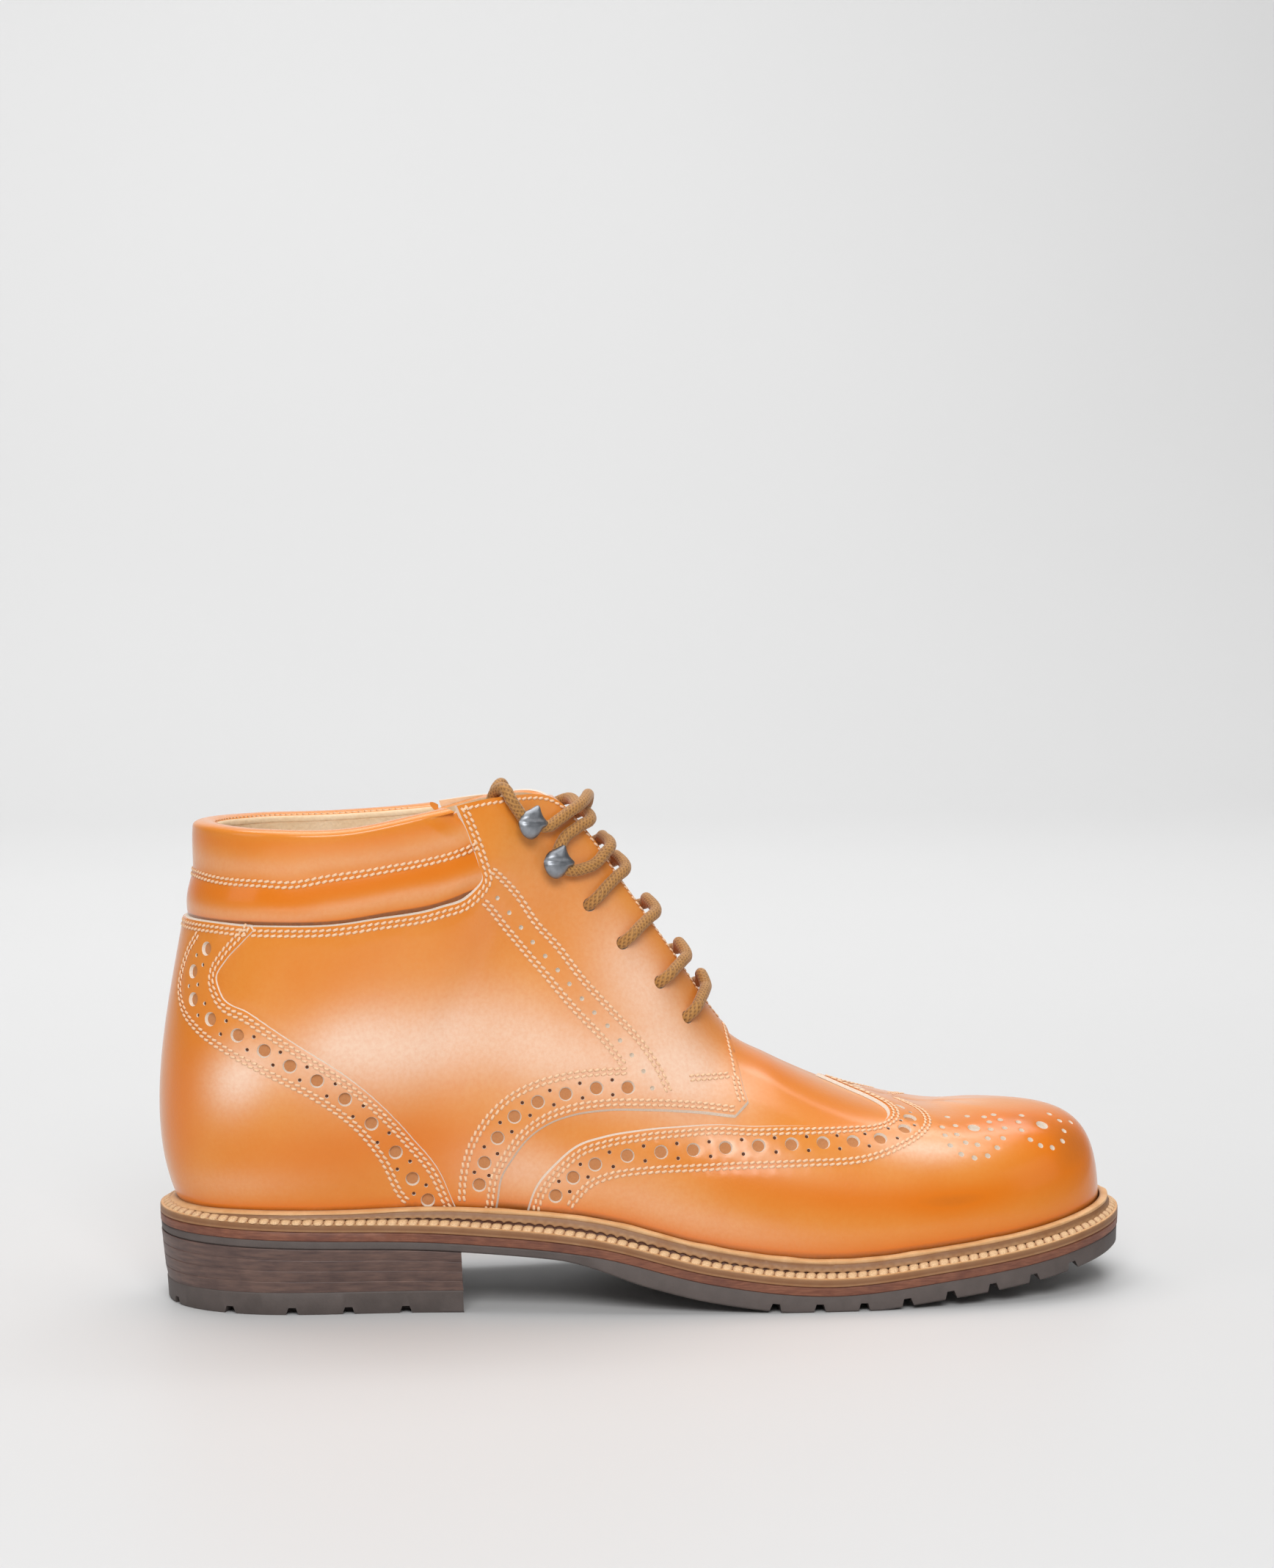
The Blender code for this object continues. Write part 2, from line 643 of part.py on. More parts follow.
wing_outline = [(-46, 10)] + WING_EDGE + [(56, 90), (175, 90), (175, 5)]
overlay("wing_cap", wing_outline, S_ALL[np.abs(S_ALL) <= 115])
quarter_outline = [(-51, 10)] + QUARTER_FRONT + [(27.4, 84), (45, 90), (45, 175), (-62, 175)]
quarter_outline += COLLAR_FRONT + COLLAR_SEAM + COUNTER_EDGE + [(-62.6, 10)]
S_QUARTER = HALF[(HALF >= 71) & (HALF <= 174)]
overlay("quarter_lateral", quarter_outline, -S_QUARTER[::-1])
overlay("quarter_medial", quarter_outline, S_QUARTER)
counter_outline = [(-63.2, 10)] + moved(COUNTER_EDGE[::-1], -0.6, 0)
counter_outline += [(-125.6, 118.9), (-144, 119.4), (-170, 119.6), (-170, 5)]
overlay("heel_counter", counter_outline, round_heel(110), V_ALL[:9])
cuff_outline = moved(COLLAR_FRONT, -0.7, 0) + moved(COLLAR_SEAM, -0.3, 0.6)
cuff_outline += [(-144, 120.2), (-170, 120.4), (-170, 180), (-62.7, 180)]


def cuff_outer(s, v):
    """Two padded rolls, one above the other, divided by a stitched line."""
    roll = np.abs(np.sin(np.pi * np.clip((v - 0.74) / 0.13, 0, 2)))
    return -1.6 * np.sqrt(roll)


V_CUFF = np.array([0.66, 0.74, 0.765, 0.805, 0.845, 0.87, 0.895, 0.935, 0.975, 1.0])
overlay("collar_cuff", cuff_outline, round_heel(120), V_CUFF, cuff_outer)


# Speed hooks and lacing
def frame_at(angle, v, lift):
    """Place and outward direction on the skin."""
    s = np.array([angle])
    at = np.array([v])
    return under(s, at, np.array([-lift]))[0], skin_normal(s, at)[0]


for number, (angle, v) in enumerate(HOOKS):
    for side, word in ((-1, "lateral"), (1, "medial")):
        spot, out = frame_at(side * angle, v, GAP)
        work = bmesh.new()
        profile = [(0.0, 0.0)] + HOOK_PROFILE + [(0.0, 6.9)]
        points = [work.verts.new((r * MM, 0, h * MM)) for r, h in profile]
        edges = [work.edges.new((a, b)) for a, b in zip(points, points[1:])]
        bmesh.ops.spin(work, geom=points + edges, axis=(0, 0, 1), cent=(0, 0, 0), angle=math.tau,
                       steps=HOOK_SIDES, use_duplicate=False)
        bmesh.ops.remove_doubles(work, verts=work.verts, dist=2e-6)
        bmesh.ops.recalc_face_normals(work, faces=work.faces)
        aim = Vector(out).to_track_quat("Z", "Y").to_matrix().to_4x4()
        bmesh.ops.transform(work, matrix=Matrix.Translation(Vector(spot) * MM) @ aim, verts=work.verts)
        label = "lace_hook_%d_%s" % (number + 1, word)
        mesh = bpy.data.meshes.new(label)
        work.to_mesh(mesh)
        work.free()
        mesh.materials.append(look("gunmetal"))
        BOOT.objects.link(bpy.data.objects.new(label, mesh))

# Lace bars: up one facing, over the gap and down the other; the two between the hooks cross
LACE_LIFT = LACE_RADIUS + 0.8
for name, lateral, medial, climb, arch in LACE_ROWS:
    halves = []
    edges = []
    for side, route in ((-1, lateral), (1, medial)):
        s = side * np.array([angle for angle, v in route])
        at = np.array([v for angle, v in route])
        halves.append(under(s, at, -LACE_LIFT * np.ones(s.shape)))
        edges.append(s[-1])
    low = skin(np.array(edges), np.ones(2)).mean(0)
    high = skin(np.array(edges) * 1.04, np.ones(2)).mean(0)
    up = (high - low) / np.linalg.norm(high - low)
    out = np.array([up[2], 0.0, -up[0]])
    middle = (halves[0][-1] + halves[1][-1]) / 2 + up * climb + out * arch
    tube(name, np.vstack([halves[0], middle[None], halves[1][::-1]]), LACE_RADIUS, "braided cotton")

# Lace ends, from the top hooks over the rim and down inside the shaft
END_ROUTE = [
    # angle, v, depth beneath the skin
    (126.2, 0.935, -LACE_LIFT - 0.5),
    (127.0, 0.98, -LACE_LIFT - 0.8),
]
END_INSIDE = [
    (128.2, 0.985, 9.0),
    (128.6, 0.93, 9.4),
    (129.0, 0.87, 9.6),
    (129.4, 0.80, 9.8),
]
RIM_ROUTE = [(127.4, -0.4), (127.8, 5.2)]
RIM_CLEAR = LACE_RADIUS + 1.2
for side, word in ((-1, "lateral"), (1, "medial")):
    outside = [under(np.array([side * a]), np.array([v]), np.array([d]))[0] for a, v, d in END_ROUTE]
    inside = [under(np.array([side * a]), np.array([v]), np.array([d]))[0] for a, v, d in END_INSIDE]
    over = [under(np.array([side * a]), np.array([1.0]), np.array([d]))[0] for a, d in RIM_ROUTE]
    over = [point + np.array([0, 0, RIM_CLEAR]) for point in over]
    route = np.array(outside + over + inside)
    knots = np.arange(len(route), dtype=float)
    fine = np.linspace(0, len(route) - 1, 13)
    curve = np.column_stack([smooth(fine, knots, route[:, k]) for k in range(3)])
    tube("lace_end_" + word, curve, LACE_RADIUS, "braided cotton")
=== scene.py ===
# %% [markdown]
# A brogue boot, dressed for its picture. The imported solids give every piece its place; this lesson lays
# finer leather, stitching, lace and sole pieces over them. The upper of a boot is one skin pulled over a
# last, so nearly everything here is drawn on one function of two numbers: an angle round the boot and a
# height from the welt to the top line.

import bpy
import numpy as np
from mathutils import Matrix, Vector
from mathutils.geometry import delaunay_2d_cdt


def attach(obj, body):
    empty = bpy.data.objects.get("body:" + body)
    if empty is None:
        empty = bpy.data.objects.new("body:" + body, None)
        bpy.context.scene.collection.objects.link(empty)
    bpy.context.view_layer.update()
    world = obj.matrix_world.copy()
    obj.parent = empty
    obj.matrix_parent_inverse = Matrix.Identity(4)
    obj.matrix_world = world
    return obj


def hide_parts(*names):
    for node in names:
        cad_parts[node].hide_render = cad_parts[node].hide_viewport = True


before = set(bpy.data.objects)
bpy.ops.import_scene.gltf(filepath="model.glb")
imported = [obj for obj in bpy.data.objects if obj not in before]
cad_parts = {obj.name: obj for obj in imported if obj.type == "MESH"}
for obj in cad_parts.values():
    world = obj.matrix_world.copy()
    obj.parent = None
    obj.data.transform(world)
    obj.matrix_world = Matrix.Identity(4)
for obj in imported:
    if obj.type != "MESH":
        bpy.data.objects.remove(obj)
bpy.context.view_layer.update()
MM = 0.001
print("frame nodes:", len(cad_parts))

# %% [markdown]
# The camera stands a little behind the boot's middle at the height of a low tripod and looks slightly
# down. Its place is also needed to read the picture: a pixel can be followed back to the leather, so
# seams and holes are placed where the picture has them.

# %% Camera
PHOTO_WIDTH, PHOTO_HEIGHT = 1736.0, 2137.0
LENS_MM, SENSOR_MM = 83.5, 36.0
STAND_OFF, CAMERA_HEIGHT = 1.15, 0.255
CAMERA_TURN = np.radians(-7.5)
CAMERA_PAN = np.radians(0.12)
CAMERA_PITCH = np.radians(4.72)
FOCAL_PX = LENS_MM / SENSOR_MM * PHOTO_HEIGHT

heading = CAMERA_TURN + CAMERA_PAN
eye = np.array([np.sin(CAMERA_TURN) * STAND_OFF, -np.cos(CAMERA_TURN) * STAND_OFF, CAMERA_HEIGHT])
right = np.array([np.cos(heading), np.sin(heading), 0.0])
level_ahead = np.array([-np.sin(heading), np.cos(heading), 0.0])
ahead = level_ahead * np.cos(CAMERA_PITCH) - np.array([0, 0, np.sin(CAMERA_PITCH)])
upward = np.cross(right, ahead)


def to_pixels(points):
    """Picture position of points in metres: sideways and upward distance over depth, times the lens."""
    away = points - eye
    depth = away @ ahead
    return np.stack([
        PHOTO_WIDTH / 2 + FOCAL_PX * (away @ right) / depth,
        PHOTO_HEIGHT / 2 - FOCAL_PX * (away @ upward) / depth], -1)


camera_data = bpy.data.cameras.new("studio camera")
camera_data.lens = LENS_MM
camera_data.sensor_width = SENSOR_MM
camera = bpy.data.objects.new("studio camera", camera_data)
camera.matrix_world = Matrix(np.column_stack([right, upward, -ahead]).tolist()).to_4x4()
camera.location = eye
bpy.context.scene.collection.objects.link(camera)
bpy.context.scene.camera = camera
print("camera at", np.round(eye, 3))

# %% [markdown]
# The last: the same sizes and short tables as the solids. A sole outline gives the breadth at each angle,
# a seat line gives the arch and toe spring, and one cubic profile per angle climbs from the welt to the
# ridge, the facing or the collar.

# %% The last's tables
TOE_X, HEEL_X = 154.0, -154.0
GAP = 0.3
WELT = 2.5
MIDSOLE = 2.7
RUBBER_FORE, RUBBER_WAIST = 5.4, 2.3
LUG_DEPTH = 2.6
NOTCH = 3.0
BREAST_X = -62.0
TOP_PIECE = 7.0
HEEL_NOTCH_DEPTH = 2.3
LIP_V = 0.075
LIP_THICK = 2.3
OVERLAY = 1.2
THROAT = 87.0
RIDGE_MEDIAL = 3.0
LACE_RADIUS = 1.9

PLAN = np.array([
    # angle, lateral reach, medial reach
    (0, 86.0, 86.0), (30, 73.0, 80.0), (60, 59.0, 61.0), (90, 48.5, 41.5),
    (120, 43.5, 41.0), (150, 61.0, 60.5), (180, 74.0, 74.0)])
SEAT = np.array([
    # x, z
    (-154, 30.0), (-110, 28.8), (-60, 27.2), (-20, 23.2), (15, 14.6), (50, 10.5), (90, 13.9),
    (122, 17.9), (154, 23.6)])
MARGIN = np.array([
    # angle, margin
    (0, 6.6), (60, 7.5), (120, 7.0), (150, 7.0), (180, 8.6)])
PROFILES = np.array([
    # angle, rise, flare, end_x, end_half, end_z, tuck_x, tuck_out, tuck_z, medial_drop
    (0, 34.0, 0.5, 100, 0.0, 56.4, 41, 0, 0.5, 0),
    (25, 34.0, 1.5, 95, 0.0, 56.2, 30, 22, 0.2, 0),
    (45, 33.0, 2.5, 84, 0.0, 57.2, 14, 33, -2.0, 0),
    (60, 33.0, 3.0, 64, 0.0, 63.2, 4, 36, -1.4, 0),
    (75, 36.0, 3.0, 41, 0.0, 73.5, 0, 34, 0.0, 0),
    (87, 42.0, 4.0, 26, 0.0, 83.0, -2, 26, -3.0, 0),
    (100, 45.0, 5.0, 6, 11.0, 110.5, -4, 15, -8.0, 0),
    (108, 45.0, 6.0, -8, 12.5, 130.0, -5, 15, -10.0, 0),
    (115, 45.0, 7.0, -20, 14.0, 147.0, -6, 14, -14.0, 0),
    (121, 44.0, 8.0, -31, 18.0, 157.6, -4, 12, -22.0, 1),
    (128, 42.0, 8.5, -48, 27.0, 158.8, 0, 8, -30.0, 3.5),
    (136, 40.0, 9.0, -68, 34.0, 155.6, 0, 3, -33.0, 3.5),
    (147, 38.0, 11.0, -95, 36.5, 150.5, 0, 1, -35.0, 0.5),
    (160, 34.0, 14.0, -122, 30.5, 150.0, -1, 1, -35.0, 0),
    (172, 32.5, 18.0, -137.5, 13.5, 150.4, -1.5, 0.5, -35.5, 0),
    (180, 32.5, 19.0, -141, 0.0, 150.5, -1.5, 0, -35.5, 0)])
ODD_COLUMNS = (4, 7)
print("profiles:", len(PROFILES))

# %% [markdown]
# A last has no corners, so its tables are joined by smooth curves. A net of hand-placed points or a sculpted
# mesh could give the same form; a function of angle and height also gives every seam, hole and stitch its
# place, its outward direction and its depth in the leather.

# %% The last's surface
TOE_INSET = 0.17
RIDGE_FROM, RIDGE_BLEND = -20.0, 90.0
NORMAL_S, NORMAL_V, NORMAL_TOP = 0.6, 0.012, 0.982
RIDGE_V = 0.999


def smooth(x, knots, values):
    """Cubic curve through the knots, with slopes from its neighbours."""
    x = np.asarray(x, float)
    slope = np.gradient(values, knots)
    i = np.clip(np.searchsorted(knots, x) - 1, 0, len(knots) - 2)
    h = knots[i + 1] - knots[i]
    t = (x - knots[i]) / h
    start = (1 + 2 * t) * (1 - t) ** 2 * values[i] + t * (1 - t) ** 2 * h * slope[i]
    stop = t * t * (3 - 2 * t) * values[i + 1] + t * t * (t - 1) * h * slope[i + 1]
    return start + stop


def wrapped(table, odd=()):
    """The table with its rows reflected past both ends, so curves cross toe and heel smoothly."""
    sign = np.ones(table.shape[1])
    sign[list(odd)] = -1
    front = table[2:0:-1] * sign
    front[:, 0] = -table[2:0:-1, 0]
    back = table[-2:-4:-1] * sign
    back[:, 0] = 360 - table[-2:-4:-1, 0]
    return np.vstack([front, table, back])


PLAN_ROWS = wrapped(PLAN)
PLAN_ROWS[:2, 1:] = PLAN_ROWS[:2, [2, 1]]
PLAN_ROWS[-2:, 1:] = PLAN_ROWS[-2:, [2, 1]]
MARGIN_ROWS = wrapped(MARGIN)
PROFILE_ROWS = wrapped(PROFILES, ODD_COLUMNS)


def signed(s):
    """An angle folded into -180 to 180: negative on the lateral side."""
    return (np.asarray(s, float) + 180) % 360 - 180


def seat(x):
    """Height of the welt's top at x."""
    return smooth(x, SEAT[:, 0], SEAT[:, 1])


def plan(s, inset, shift=0.0):
    """Sole outline: x is half the length times the cosine, y the reach times the sine of the angle."""
    s = signed(s)
    side = np.where(s >= 0, 1.0, -1.0)
    turn = np.radians(np.abs(s))
    x = (TOE_X + HEEL_X) / 2 + ((TOE_X - HEEL_X) / 2 - inset) * np.cos(turn)
    lateral = smooth(np.abs(s), PLAN_ROWS[:, 0], PLAN_ROWS[:, 1])
    medial = smooth(np.abs(s), PLAN_ROWS[:, 0], PLAN_ROWS[:, 2])
    reach = np.where(side < 0, lateral, medial) - inset * (1 + TOE_INSET * np.cos(turn) ** 2)
    return x, side * reach * np.sin(turn) + shift


ROUND = np.linspace(0, 180, 181)
SHIFT = -(plan(ROUND, 0)[1].max() + plan(-ROUND, 0)[1].min()) / 2


def skin(s, v):
    """Outermost leather: a cubic Bezier from the feather line (v = 0) to the top line (v = 1)."""
    s = signed(s)
    v = np.asarray(v, float)
    side = np.where(s >= 0, 1.0, -1.0)
    angle = np.abs(s)
    inset = smooth(angle, MARGIN_ROWS[:, 0], MARGIN_ROWS[:, 1])
    x, y = plan(s, inset, SHIFT)
    xa, ya = plan(s - 0.5, inset)
    xb, yb = plan(s + 0.5, inset)
    run = np.hypot(xb - xa, yb - ya)
    rise, flare, end_x, half, end_z, tuck_x, tuck_out, tuck_z, drop = [
        smooth(angle, PROFILE_ROWS[:, 0], PROFILE_ROWS[:, k]) for k in range(1, 10)]
    half = np.where(angle <= THROAT, 0.0, np.maximum(half, 0.0))
    end_z = end_z - np.where(side > 0, np.maximum(drop, 0.0), 0.0)
    t = np.clip((end_x - RIDGE_FROM) / RIDGE_BLEND, 0, 1)
    ridge = RIDGE_MEDIAL * t * t * (3 - 2 * t)
    p0 = np.stack([x, y, seat(x) - WELT], -1)
    p1 = p0 + np.stack([(yb - ya) / run * flare, (xa - xb) / run * flare, rise], -1)
    p3 = np.stack([end_x, ridge + side * half, end_z], -1)
    p2 = p3 + np.stack([tuck_x, side * tuck_out, tuck_z], -1)
    t = v[..., None]
    return (1 - t) ** 3 * p0 + 3 * (1 - t) ** 2 * t * p1 + 3 * (1 - t) * t * t * p2 + t ** 3 * p3


def unit(vectors):
    """Vectors divided by their lengths."""
    return vectors / np.linalg.norm(vectors, axis=-1, keepdims=True)


def slope_normal(s, v):
    """Cross product of the skin's slopes by angle and by height, as a unit vector."""
    by_s = skin(s + NORMAL_S, v) - skin(s - NORMAL_S, v)
    by_v = skin(s, v + NORMAL_V) - skin(s, v - NORMAL_V)
    return unit(np.cross(by_s, by_v))


def skin_normal(s, v):
    """Outward unit normal; both sides of the ridge share their mean."""
    s, v = np.broadcast_arrays(np.asarray(s, float), np.asarray(v, float))
    inside_v = np.clip(v, NORMAL_V, NORMAL_TOP)
    n = slope_normal(s, inside_v)
    ridge = (v >= RIDGE_V) & (np.abs(signed(s)) <= THROAT)
    if ridge.any():
        m = slope_normal(-s, inside_v)
        m = np.where((m * n).sum(-1, keepdims=True) < 0, -m, m)
        n = np.where(ridge[..., None], unit(n + m), n)
    return n


def under(s, v, depth):
    """A point the given depth beneath the skin, in millimetres."""
    s, v, depth = np.broadcast_arrays(np.asarray(s, float), np.asarray(v, float), np.asarray(depth, float))
    return skin(s, v) - skin_normal(s, v) * depth[..., None]


print("skin from", np.round(skin(0, 0), 1), "to", np.round(skin(180, 1), 1))

# %% [markdown]
# Reading the picture. A dense net on the outer half of the skin is projected once; a pixel takes the net
# point nearest to it that faces the camera, and two Newton steps bring it home. Lines then run smoothly
# through such places, and a line can be moved sideways over the leather by a real distance.

# %% From pixels to leather
NET_S, NET_V = np.meshgrid(np.linspace(-180, 0, 541), np.linspace(0, 1, 301), indexing="ij")
net = skin(NET_S, NET_V)
faces_camera = (skin_normal(NET_S, NET_V) * (eye / MM - net)).sum(-1) > 0
net_pixels = to_pixels(net * MM)[faces_camera]
net_places = np.stack([NET_S, NET_V], -1)[faces_camera]
SCALE = np.array([2.4, 100.0])
PIXEL_S, PIXEL_V = 0.2, 0.002
SLOPE_S, SLOPE_V = 0.2, 0.004


def on_skin(pixels):
    """Angle and height of the leather seen at each pixel."""
    pixels = np.asarray(pixels, float)
    nearest = [int(((net_pixels - pixel) ** 2).sum(-1).argmin()) for pixel in pixels]
    s, v = net_places[nearest].T
    for _ in range(2):
        here = to_pixels(skin(s, v) * MM)
        by_s = (to_pixels(skin(s + PIXEL_S, v) * MM) - here) / PIXEL_S
        by_v = (to_pixels(skin(s, v + PIXEL_V) * MM) - here) / PIXEL_V
        miss = pixels - here
        area = by_s[:, 0] * by_v[:, 1] - by_s[:, 1] * by_v[:, 0]
        step_s = (miss[:, 0] * by_v[:, 1] - miss[:, 1] * by_v[:, 0]) / area
        step_v = (by_s[:, 0] * miss[:, 1] - by_s[:, 1] * miss[:, 0]) / area
        s = s + np.clip(step_s, -0.4, 0.4)
        v = np.clip(v + np.clip(step_v, -0.005, 0.005), 0, 1)
    return np.column_stack([s, v])


def trace(places, spacing):
    """Even points, the spacing in millimetres, on a smooth curve through angle and height rows."""
    places = np.asarray(places, float)
    chord = np.concatenate([[0], np.cumsum(np.linalg.norm(np.diff(places * SCALE, axis=0), axis=1))])
    fine = np.linspace(0, chord[-1], 40 * len(places))
    curve = np.column_stack([smooth(fine, chord, places[:, k]) for k in (0, 1)])
    run = np.concatenate([[0], np.cumsum(np.linalg.norm(np.diff(skin(*curve.T), axis=0), axis=1))])
    count = max(int(round(run[-1] / spacing)), 1)
    at = np.interp(np.linspace(0, run[-1], count + 1), run, fine)
    return np.column_stack([smooth(at, chord, places[:, k]) for k in (0, 1)])


def skin_step(s, v, move):
    """Change of angle and height that carries a point by a tangent move: normal equations of the slopes."""
    by_s = (skin(s + SLOPE_S, v) - skin(s - SLOPE_S, v)) / (2 * SLOPE_S)
    by_v = (skin(s, v + SLOPE_V) - skin(s, v - SLOPE_V)) / (2 * SLOPE_V)
    ss, sv, vv = (by_s * by_s).sum(-1), (by_s * by_v).sum(-1), (by_v * by_v).sum(-1)
    ms, mv = (by_s * move).sum(-1), (by_v * move).sum(-1)
    det = ss * vv - sv * sv
    return (ms * vv - mv * sv) / det, (mv * ss - ms * sv) / det


def shifted(curve, distance, steps=4):
    """The curve moved over the leather to the left of its run, seen from outside, by millimetres."""
    s, v = curve.T
    for _ in range(steps):
        side = unit(np.cross(skin_normal(s, v), np.gradient(skin(s, v), axis=0)))
        ds, dv = skin_step(s, v, side * distance / steps)
        s, v = s + ds, np.clip(v + dv, 0, 1)
    return np.column_stack([s, v])


def mirrored(curve):
    """The same curve on the medial side."""
    return curve * np.array([-1.0, 1.0])


# A curve as it is drawn, or its mirror image.
SIDES = (("lateral", np.asarray), ("medial", mirrored))


def both_sides(places):
    """Places on the lateral side and their mirror images."""
    return np.vstack([places, mirrored(places)])


print("net points that face the camera:", len(net_places))

# %% [markdown]
# Seams and holes as the picture shows them, in pixels, from the waist forward or from the top down. The
# inner side of the boot is hidden, so it repeats them.

# %% Picture lines
WING_EDGE_PX = [
    (718, 1641), (734, 1616), (759, 1587), (788, 1563), (823, 1551), (865, 1543), (919, 1537), (983, 1533),
    (1025, 1535), (1078, 1534), (1161, 1532), (1191, 1530), (1208, 1524), (1213, 1515), (1206, 1504),
    (1183, 1491), (1153, 1478)]
WING_PEAK = (64.7, 1.0)
WING_HOLES_PX = [
    (757, 1630), (781, 1605), (811, 1587), (855, 1575), (901, 1570), (945, 1567), (989, 1564), (1034, 1561),
    (1079, 1559), (1122, 1557), (1163, 1555), (1200, 1551), (1233, 1538), (1240, 1523), (1224, 1508)]
WING_LOWER_PX = [
    (775, 1645), (804, 1614), (830, 1603), (865, 1597), (919, 1593), (1000, 1589), (1100, 1585), (1191, 1576),
    (1228, 1561), (1257, 1542), (1264, 1525), (1251, 1510), (1213, 1493)]
QUARTER_EDGE_PX = [
    (676, 1641), (683, 1603), (696, 1581), (718, 1552), (747, 1531), (779, 1519), (823, 1512), (874, 1511),
    (919, 1512), (967, 1515), (1002, 1519)]
QUARTER_CORNER_PX = [(1002, 1519), (1019, 1500)]
FACING_FOOT_PX = [(1019, 1500), (1014, 1485), (1005, 1444), (997, 1416)]
TAB_PX = [(1019, 1500), (1014, 1485), (1009, 1464)]
QUARTER_HOLES_PX = [
    (653, 1615), (660, 1585), (678, 1551), (701, 1522), (733, 1502), (771, 1491), (813, 1483), (856, 1482)]
QUARTER_UPPER_PX = [
    (629, 1638), (632, 1600), (641, 1565), (661, 1530), (689, 1501), (728, 1479), (766, 1468), (807, 1462),
    (855, 1460)]
EYESTAY_HOLES_PX = [
    (678, 1224), (694, 1244), (710, 1264), (726, 1284), (743, 1303), (760, 1322), (776, 1341), (793, 1361),
    (810, 1380), (828, 1398), (845, 1418), (861, 1438), (877, 1460), (889, 1483)]
EYESTAY_UPPER_PX = [
    (670, 1185), (700, 1214), (732, 1260), (764, 1295), (796, 1337), (831, 1375), (871, 1418), (897, 1456),
    (916, 1498)]
EYESTAY_LOWER_PX = [(659, 1228), (688, 1263), (719, 1300), (751, 1337), (783, 1375), (823, 1417), (853, 1456)]
BAR_TACK_PX = [(940, 1469), (1003, 1463)]
COLLAR_SEAM_PX = [
    (258, 1252), (300, 1259), (340, 1263), (400, 1264), (500, 1256), (600, 1238), (640, 1222), (657, 1203),
    (653, 1180), (640, 1140), (626, 1106)]
CUFF_STITCH_PX = [
    (266, 1190), (307, 1201), (350, 1204), (400, 1206), (450, 1197), (521, 1186), (586, 1174), (640, 1157)]
COUNTER_EDGE_PX = [
    (345, 1268), (330, 1284), (308, 1308), (295, 1330), (300, 1353), (340, 1382), (420, 1435), (500, 1490),
    (560, 1550), (600, 1600), (624, 1641)]
COUNTER_HOLES_PX = [
    (283, 1293), (265, 1324), (265, 1362), (288, 1389), (324, 1411), (360, 1432), (395, 1453), (432, 1473),
    (470, 1498), (506, 1531), (539, 1570), (562, 1606), (583, 1635)]
COUNTER_INNER_PX = [
    (272, 1272), (255, 1305), (247, 1340), (250, 1370), (268, 1400), (310, 1432), (370, 1465), (440, 1502),
    (490, 1540), (525, 1585), (552, 1635), (563, 1644)]
MEDALLION_LARGE_PX = [(1327, 1537), (1420, 1533)]
MEDALLION_SMALL_PX = [
    (1284, 1536), (1302, 1534), (1318, 1521), (1341, 1522), (1348, 1529), (1350, 1539), (1346, 1551),
    (1332, 1560), (1316, 1557), (1304, 1546), (1288, 1547), (1295, 1561), (1310, 1573), (1328, 1578),
    (1346, 1575), (1359, 1564), (1367, 1551), (1369, 1537), (1363, 1526), (1354, 1519), (1291, 1522),
    (1392, 1520), (1388, 1529), (1392, 1540), (1404, 1553), (1418, 1561), (1434, 1564), (1448, 1555),
    (1450, 1541), (1444, 1527), (1430, 1518), (1459, 1529)]
print("pixel lines read: wing, quarter, eyestay, collar, counter, medallion")

# %% [markdown]
# Leather pieces are cut and punched flat and then lasted. Here a piece is a flat drawing in angle and
# height: a closed edge, holes and rows of stitching are triangulated together, so each hole is a real
# hole. The drawing is then laid on the skin at its depth and given the leather's thickness. A raw edge
# keeps its own pale finish.


# %% Mesh helpers
def add_piece(name, verts, faces, materials, slots=None, crease=40.0, layers=None):
    """A mesh object from millimetre points, turned outward by its volume, smooth but for sharp edges."""
    verts = np.asarray(verts, float) * MM
    flat = [np.asarray(face, int) for face in faces]
    corners = np.concatenate([face[:, 1:-1].reshape(-1) for face in flat])
    first = np.concatenate([np.repeat(face[:, 0], face.shape[1] - 2) for face in flat])
    after = np.concatenate([face[:, 2:].reshape(-1) for face in flat])
    volume = (verts[first] * np.cross(verts[corners], verts[after])).sum()
    lists = [row for face in flat for row in (face[:, ::-1] if volume < 0 else face).tolist()]
    mesh = bpy.data.meshes.new(name)
    mesh.from_pydata(verts.tolist(), [], lists)
    mesh.polygons.foreach_set("use_smooth", np.ones(len(lists), bool))
    for material in materials:
        mesh.materials.append(material)
    if slots is not None:
        mesh.polygons.foreach_set("material_index", np.asarray(slots, np.int32))
    for key, values in (layers or {}).items():
        layer = mesh.attributes.new(key, "FLOAT", "POINT")
        layer.data.foreach_set("value", np.asarray(values, np.float32))
    mesh.set_sharp_from_angle(angle=np.radians(crease))
    mesh.update()
    made = bpy.data.objects.new(name, mesh)
    bpy.context.scene.collection.objects.link(made)
    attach(made, "root")
    return made


def quads(index):
    """Four-sided faces between neighbouring rows and columns of an index grid."""
    return np.stack([index[:-1, :-1], index[1:, :-1], index[1:, 1:], index[:-1, 1:]], -1).reshape(-1, 4)


def tube_faces(rings, sides):
    """Side faces and the two end caps of a tube whose points run ring by ring."""
    index = np.arange(rings * sides).reshape(rings, sides)
    index = np.column_stack([index, index[:, :1]])
    return [quads(index), np.array([index[0, :-1][::-1], index[-1, :-1]])]


def copied(faces, count, points):
    """The faces of one template for every copy, each copy that many points further on."""
    jump = (np.arange(count) * points)[:, None, None]
    return [(face + jump).reshape(-1, face.shape[1]) for face in faces]


